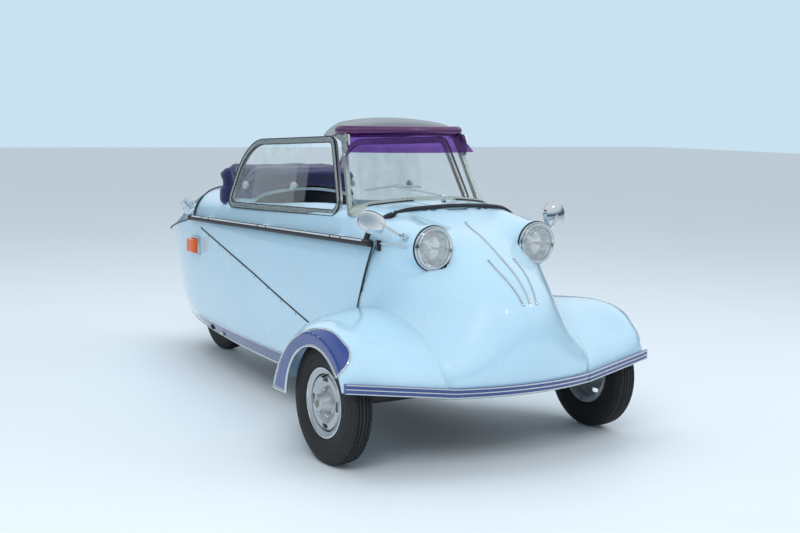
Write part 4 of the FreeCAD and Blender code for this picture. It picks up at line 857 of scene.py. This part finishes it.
# %% Screen seal, visor roll and dome bead
SCREEN_LOW = (812, (289, -676), (287, -728), (258, -764), -822)
SCREEN_HIGH = (1088, (247, -548), (243, -578), (220, -598), -616)


def arc_through(a, b, c, count):
    # Points along the circle through three points of one height
    d = 2 * (a.x * (b.y - c.y) + b.x * (c.y - a.y) + c.x * (a.y - b.y))
    sa, sb, sc = (p.x ** 2 + p.y ** 2 for p in (a, b, c))
    cx = (sa * (b.y - c.y) + sb * (c.y - a.y) + sc * (a.y - b.y)) / d
    cy = (sa * (c.x - b.x) + sb * (a.x - c.x) + sc * (b.x - a.x)) / d
    start, end = math.atan2(a.y - cy, a.x - cx), math.atan2(c.y - cy, c.x - cx)
    through = math.atan2(b.y - cy, b.x - cx)
    turn = (end - start + math.pi) % (2 * math.pi) - math.pi
    if not 0 <= ((through - start) / turn if turn else 0) <= 1:
        turn -= math.copysign(2 * math.pi, turn)
    radius = math.hypot(a.x - cx, a.y - cy)
    return [Vector((cx + radius * math.cos(start + turn * k / count),
                    cy + radius * math.sin(start + turn * k / count), a.z)) for k in range(count + 1)]


def screen_line(z, grow=0.0, count=24):
    share = (z - SCREEN_LOW[0]) / (SCREEN_HIGH[0] - SCREEN_LOW[0])

    def at(column):
        return [a + (b - a) * share for a, b in zip(SCREEN_LOW[column], SCREEN_HIGH[column])]
    end, bend, corner = at(1), at(2), at(3)
    middle = SCREEN_LOW[4] + (SCREEN_HIGH[4] - SCREEN_LOW[4]) * share - grow
    right = [Vector((end[0] + grow, end[1], z)), Vector((bend[0] + grow, bend[1] - grow / 2, z)),
             Vector((corner[0] + grow * 0.7, corner[1] - grow * 0.7, z))]
    left = [flip(p, -1) for p in right]
    line = arc_through(right[0], right[1], right[2], 6)
    line += arc_through(right[2], Vector((0, middle, z)), left[2], count)[1:]
    return line + arc_through(left[2], left[1], left[0], 6)[1:]


def outward(line):
    return [Vector((p.x, p.y + 500, 0)).normalized() for p in line]


roll = Piece()
line = screen_line(1080, 6)
roll.bead(line, 36, 15, outward(line), sides=20)
roll.make("visor_roll", plum, "canopy")
studs = Piece()
for i in range(3, len(line) - 2, 4):
    up = outward(line)[i]
    studs.dome(line[i] + Vector((0, 0, 5)) + up * 7, up, 4, 2.4)
studs.make("visor_studs", chrome, "canopy")
base = Piece()
scuttle_line, ups = [], []
for p in screen_line(830, 2, 40):
    place, up = press(skin_of("canopy_ring"), p, (0, 0, 2500))
    scuttle_line.append(place + up * 2)
    ups.append(up)
base.bead(scuttle_line, 20, 3, ups)
base.make("screen_foot_seal", rubber, "canopy")
bright = Piece()
bright.bead([p + up * 1.5 for p, up in zip(scuttle_line, ups)], 10, 5, ups)
bright.make("screen_foot_strip", alloy, "canopy")
print("screen trim of", len(scuttle_line), "steps")

# %% [markdown]
# ## Rails, lamps, mirrors and small fittings
# What remains is bought in and bolted on: rings on the lamps and mirrors, a fluted lamp glass and catches.
# A plated strip along the top of each belt rail stands in for the rail's highlight: a painted highlight.

# %% Rails, lamps and mirrors
RAIL = ((342, -925, 705), (285, 740, 661))
# Shares of the right rail that the canopy's hinge sleeves take up
SLEEVE_RUNS = ((0.117, 0.165), (0.497, 0.545), (0.857, 0.905))
HIGHLIGHT_AWAY = 11.6


# A plated bead along the rail's upper outer side, where the dark rail shows its highlight: a painted
# highlight. Over the hinge sleeves the canopy carries it.
def rail_highlights(side, runs, name, body):
    up = Vector((side * 0.75, 0, 0.66))
    front, rear = [flip(p, side) for p in RAIL]
    bright = Piece()
    for low, high in runs:
        line = [front.lerp(rear, share) + up * HIGHLIGHT_AWAY for share in (low + 0.003, high - 0.003)]
        line = dense(line, 40, False)
        bright.bead(line, 7, 1.6, [up] * len(line))
    bright.make(name, chrome, body)
    return front, rear


for side, word in SIDES:
    ends = [0.02] + [share for run in SLEEVE_RUNS for share in run] * (side < 0) + [0.98]
    line = rail_highlights(side, zip(ends[0::2], ends[1::2]), "rail_painted_highlight_" + word, "body")
    if side < 0:
        rail_highlights(side, SLEEVE_RUNS, "sleeve_painted_highlights", "canopy")
    caps = Piece()
    for p, way in ((line[0], -Y), (line[1], Y)):
        caps.dome(p + way * 2, way, 13, 9, 20)
    caps.make("rail_caps_" + word, rubber, "body")

# name, material and each ring's place ahead of the lamp's middle, radius and width
LAMP_RINGS = (("lamp_rings_", chrome, ((13, 65.5, 7), (3, 71.5, 6), (-5, 73.5, 4))),
              ("lamp_gasket_", rubber, ((-4, 75, 6),)))
for side, word in SIDES:
    middle = flip(LAMP_PLACE, side)
    for name, material, rows in LAMP_RINGS:
        rings = Piece()
        for ahead, radius, width in rows:
            rings.bead(circle(middle - Y * ahead, X, Z, radius, 64), width, width / 2, [-Y] * 64, loop=True)
        rings.make(name + word, material, "body")
    bulb = Piece()
    bulb.dome(middle + Y * 44, -Y, 9, 22, 20)
    bulb.make("lamp_bulb_" + word, frosted, "body")

MIRROR_PLACE = (387, -1014, 788)
MIRROR_LOOKS = ((1, (0.15, -0.95, 0.1)), (-1, (-0.05, -0.62, 0.78)))
for (side, look), (_, word) in zip(MIRROR_LOOKS, SIDES):
    look = Vector(look).normalized()
    middle = flip(MIRROR_PLACE, side)
    across = look.orthogonal().normalized()
    rim = Piece()
    line = circle(middle - look * 11, across, look.cross(across), 46.5, 56)
    rim.bead(line, 5, 3, [-look] * 56, loop=True)
    rim.make("mirror_rim_" + word, chrome, "body")
    face = Piece()
    face.dome(middle - look * 11.5, -look, 45, 2.5, 48)
    face.make("mirror_glass_" + word, mirror_glass, "body")

# Catches on the right sill, the bright spear and the dark bracket at the rail's front end
SPEAR = ((-935, 706), (-985, 706), (-1035, 705), (-1085, 703))
small = Piece()
p, up = shoot(skin_of("side_panels", "tail_shell"), (-900, 465, 172), X)
small.bead([p - Y * 16 + up * 4, p + Y * 16 + up * 4], 18, 6, [up, up], sides=12)
small.dome(p + up * 9, up, 7, 4)
for side, word in SIDES:
    small.lay([shoot(skin_of("nose_shell"), (side * 900, y, z), -X * side) for y, z in SPEAR], 6, 2.5, 1.5)
small.make("spears_and_catch", chrome, "body")
brackets = Piece()
for side, word in SIDES:
    p, up = shoot(skin_of("nose_shell"), (side * 900, -945, 700), -X * side)
    brackets.bead([p + Z * 16 + up * 2, p - Z * 20 + up * 2], 22, 3, [up, up], sides=8)
p, up = shoot(skin_of("side_panels", "tail_shell"), (-900, 617, 176), X)
brackets.bead([p - Y * 9 + up * 3, p + Y * 9 + up * 3], 24, 5, [up, up], sides=8)
brackets.make("dark_brackets", rubber, "body")
print("small fittings placed")

# %% Hinge sleeves painted black, indicators and dash
SLEEVE_REACH = 13.5
# The bright plates under the indicators end here, and their frames lie round them
PLATE_EDGE = 284.5
INDICATOR_PLACE, INDICATOR_WIDE, INDICATOR_HIGH = (286, 691, 539), 40, 35
GAUGE_X, GAUGE_Z = 70, 640
sleeves = nodes["canopy_ring"].data
sleeves.materials.append(rubber)
rail_front, rail_rear = [flip(p, -1) for p in RAIL]
rail_way = (rail_rear - rail_front).normalized()
painted = 0
for face in sleeves.polygons:
    p = Vector(face.center) / MM
    away = p - rail_front
    if (away - rail_way * away.dot(rail_way)).length < SLEEVE_REACH:
        face.material_index = 1
        painted += 1
plates = nodes["indicators"].data
plates.materials.append(chrome)
for face in plates.polygons:
    if abs(face.center.x) < PLATE_EDGE * MM:
        face.material_index = 1
frames = Piece()
for side, word in SIDES:
    corners = [flip(INDICATOR_PLACE, side) + Y * (INDICATOR_WIDE * a) + Z * (INDICATOR_HIGH * b)
               for a, b in ((-1, -1), (1, -1), (1, 1), (-1, 1))]
    loop = []
    for i in range(4):
        loop += round_corner(corners[i - 1], corners[i], corners[(i + 1) % 4], 8, 5)
    frames.bead(loop, 6, 3.5, [X * side] * len(loop), loop=True)
frames.make("indicator_frames", chrome, "body")
# name, material, y of its foot, radius and height of the two heads that make the gauge
GAUGE = (("gauge_case", rubber, -779, 38, 9), ("gauge_dial", dial_face, -770.5, 32, 2))
for name, material, y, radius, height in GAUGE:
    head = Piece()
    head.dome(Vector((GAUGE_X, y, GAUGE_Z)), Y, radius, height, 40)
    head.make(name, material, "body")
bezel = Piece()
bezel.bead(circle(Vector((GAUGE_X, -770, GAUGE_Z)), X, Z, 34, 48), 5, 3, [Y] * 48, loop=True)
for x in (-60, -95, -130):
    bezel.dome(Vector((x, -779, 625)), Y, 9, 16, 16)
bezel.make("dash_brightwork", chrome, "body")
print("sleeve faces painted:", painted)

# %% [markdown]
# ## Upholstery and folded hood
# The seats are vinyl over foam, sewn into channels, and the hood is cloth rolled up behind the rear
# seat. Each starts as the solid's own form, a little smaller and evenly meshed. Sewn lines are held
# while air pressure swells the cloth between them, and the result is kept as a plain mesh.

# %% Padded pieces


def swollen(holder, pins, pressure, cap, rounds=20):
    scene = bpy.context.scene
    before = places_of(holder.data)
    group = holder.vertex_groups.new(name="sewn")
    for i in np.nonzero(pins > 0.02)[0]:
        group.add([int(i)], float(pins[i]), "REPLACE")
    cloth_change = holder.modifiers.new("air", "CLOTH")
    air = cloth_change.settings
    air.quality = 4
    air.mass = 0.3
    air.tension_stiffness = 12
    air.compression_stiffness = 12
    air.bending_stiffness = 0.6
    air.use_pressure = True
    air.uniform_pressure_force = pressure
    air.effector_weights.gravity = 0
    air.vertex_group_mass = "sewn"
    cloth_change.collision_settings.use_collision = False
    for frame in range(1, rounds + 1):
        scene.frame_set(frame)
    after = places_of(mesh_of(holder))
    scene.frame_set(1)
    holder.modifiers.clear()
    shift = after - before
    far = np.linalg.norm(shift, axis=1)
    return before + shift * np.minimum(1, cap / np.maximum(far, 1e-9))[:, None]


def settle(holder, places, material, body, node):
    holder.data.vertices.foreach_set("co", (places * MM).ravel())
    holder.data.update()
    finer_change = holder.modifiers.new("finer", "SUBSURF")
    finer_change.levels = 1
    smooth = mesh_of(holder)
    holder.modifiers.clear()
    holder.vertex_groups.clear()
    holder.data = smooth
    smooth.polygons.foreach_set("use_smooth", [True] * len(smooth.polygons))
    smooth.materials.clear()
    smooth.materials.append(material)
    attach(holder, body)
    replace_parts(holder, node)
    print(holder.name, "of", len(smooth.polygons), "faces")


# node, sewn lines across the seat, cushion's top z
SEATS = (("seat_front", (-140, -70, 0, 70, 140), 350), ("seat_rear", (-130, -65, 0, 65, 130), 400))
PADDED_VOXEL = 7
# The cover starts this far inside the solid and is blown out again
SHRUNK = 5
for node, sewn_lines, top_z in SEATS:
    holder = remeshed(node + "_vinyl", nodes[node].data, PADDED_VOXEL)
    even, ways = places_of(holder.data), facings_of(holder.data)
    even = even - ways * SHRUNK
    holder.data.vertices.foreach_set("co", (even * MM).ravel())
    holder.data.update()
    near = np.min([np.abs(even[:, 0] - line) for line in sewn_lines], axis=0)
    shown = np.maximum(ways[:, 2] * (even[:, 2] > top_z - 40), -ways[:, 1] * (even[:, 2] > top_z))
    sewn = (1 - rise(2, 7, near)) * rise(0.5, 0.8, shown)
    low = (1 - rise(top_z - 90, top_z - 70, even[:, 2]))
    edge = 0.75 * rise(0.25, 0.5, np.abs(ways[:, 0])) * (1 - rise(0.75, 0.9, np.abs(ways[:, 0])))
    pins = np.clip(np.maximum(np.maximum(sewn, low), edge), 0, 1)
    puffed = swollen(holder, pins, 4.0, 12)
    puffed = puffed - ways * (sewn * 3.0)[:, None]
    settle(holder, puffed, vinyl, "body", node)

# %% Hood
random.seed(7)
FOLDS = [(random.uniform(-0.5, 0.5), random.uniform(0.7, 1.3)) for _ in range(14)]
hood_low, hood_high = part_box("folded_hood")
hood_low, hood_high = hood_low / MM, hood_high / MM
ROLL_Y, ROLL_Z = 315, 830
bundle = remeshed("hood_bundle", nodes["folded_hood"].data, PADDED_VOXEL)
even, ways = places_of(bundle.data), facings_of(bundle.data)
x, y, z = even.T
# The folds run across the car, spread round the roll's middle
phase = np.arctan2(z - ROLL_Z, y - ROLL_Y)
ridge = np.zeros(len(x))
for k, (shift, strength) in enumerate(FOLDS):
    middle = -math.pi + 2 * math.pi * (k + 0.5) / len(FOLDS) + 0.12 * np.sin(x / (70 + 9 * k) + shift * 9)
    apart = np.angle(np.exp(1j * (phase - middle)))
    ridge += strength * np.exp(-(apart / 0.13) ** 2)
crease = np.sin(x / 31 + 2.5 * np.sin(phase * 2)) * np.sin(phase * 5 + x / 90)
top = rise(hood_low.z + 50, hood_low.z + 90, z)
even = even - ways * (14 - 11 * np.clip(ridge, 0, 1.2) - 3 * crease)[:, None] * top[:, None]
bundle.data.vertices.foreach_set("co", (even * MM).ravel())
bundle.data.update()
STRAPS = (-150, 40, 190)
strap_near = np.min([np.abs(x - place) for place in STRAPS], axis=0)
pins = np.clip(np.maximum(1 - rise(12, 22, strap_near), 1 - top), 0, 1)
puffed = swollen(bundle, pins, 3.0, 14)
settle(bundle, puffed, cloth, "canopy", "folded_hood")

# %% [markdown]
# ## Studio and camera
# A plain pale floor and soft lamps on both sides, with the camera where the photographer stood: about
# five metres from the nose, on the car's right, a little above its top.

# %% Stage
bpy.ops.mesh.primitive_plane_add(size=60)
floor = bpy.context.object
floor.name = "studio_floor"
floor.data.materials.append(finish("studio_floor", "#DDE6EC", 0.55, 0.05, grain=900, tint=0.01))

world = bpy.data.worlds.new("studio_world")
bpy.context.scene.world = world
world.use_nodes = True
sky = world.node_tree
sky.nodes.clear()
path = add(sky, "LightPath")
seen = add(sky, "Math", {0: path.outputs["Is Camera Ray"], 1: path.outputs["Is Transmission Ray"]},
           operation="MAXIMUM")
# Bright metal mirrors a dark ground line under a white room
place = add(sky, "TexCoord")
height = add(sky, "SeparateXYZ", {"Vector": place.outputs["Generated"]})
room = add(sky, "ValToRGB", {"Fac": height.outputs["Z"]})
ramp = room.color_ramp.elements
ramp[0].position, ramp[0].color = 0.0, linear("#5D6F7E")
ramp[1].position, ramp[1].color = 1.0, linear("#A9BECC")
for where, code in ((0.1, "#54646F"), (0.26, "#DCE9F2"), (0.6, "#F4FAFD")):
    ramp.new(where).color = linear(code)
mirrored = add(sky, "Background", {"Color": room.outputs[0], "Strength": 1.0})
dim = add(sky, "Background", {"Color": linear("#E4EDF4"), "Strength": 0.85})
pale = add(sky, "Background", {"Color": linear("#C9E2F1"), "Strength": 1.0})
both = add(sky, "MixShader", {0: seen.outputs[0], 1: dim.outputs[0], 2: pale.outputs[0]})
shown = add(sky, "MixShader", {0: path.outputs["Is Glossy Ray"], 1: both.outputs[0],
                               2: mirrored.outputs[0]})
add(sky, "OutputWorld", {"Surface": shown.outputs[0]})

# name, place, aim, size, power
LAMPS = (
    ("key_lamp", (-3.5, -4.5, 4.5), (0, -0.3, 0.4), 3.0, 130),
    ("fill_lamp", (4.5, -3.0, 3.5), (0, 0, 0.4), 3.0, 45),
    ("top_lamp", (0, 1.0, 5.0), (0, 0, 0), 4.0, 80),
    ("spot_right", (-3.2, -3.4, 3.2), (0, -0.9, 0.5), 0.16, 7),
    ("spot_front", (-0.6, -5.0, 3.4), (0, -0.9, 0.5), 0.16, 7),
    ("spot_left", (2.6, -3.6, 3.0), (0, -0.9, 0.5), 0.16, 5),
)
for name, place, aim, size, power in LAMPS:
    lamp = bpy.data.lights.new(name, "AREA")
    lamp.shape = "SQUARE"
    lamp.size = size
    lamp.energy = power
    holder = bpy.data.objects.new(name, lamp)
    holder.location = place
    holder.rotation_euler = (Vector(aim) - Vector(place)).to_track_quat("-Z", "Y").to_euler()
    # Wide lamps leave no bright squares on the paint, only the small ones show as spots
    holder.visible_glossy = size < 1
    bpy.context.scene.collection.objects.link(holder)

camera_place = Vector((-2.5737, -4.6441, 1.1544))
camera_right = Vector((0.845662, -0.533471, 0.016284))
camera_down = Vector((-0.050712, -0.110685, -0.992561))
camera_forward = Vector((0.531305, 0.838545, -0.120656))
camera_data = bpy.data.cameras.new("photo_camera")
camera_data.sensor_width = 36.0
camera_data.lens = 57.74
camera = bpy.data.objects.new("photo_camera", camera_data)
camera.matrix_world = Matrix.Translation(camera_place) @ Matrix((
    camera_right, -camera_down, -camera_forward)).transposed().to_4x4()
bpy.context.scene.collection.objects.link(camera)
bpy.context.scene.camera = camera
bpy.context.scene.view_settings.view_transform = "Standard"
print("stage set")
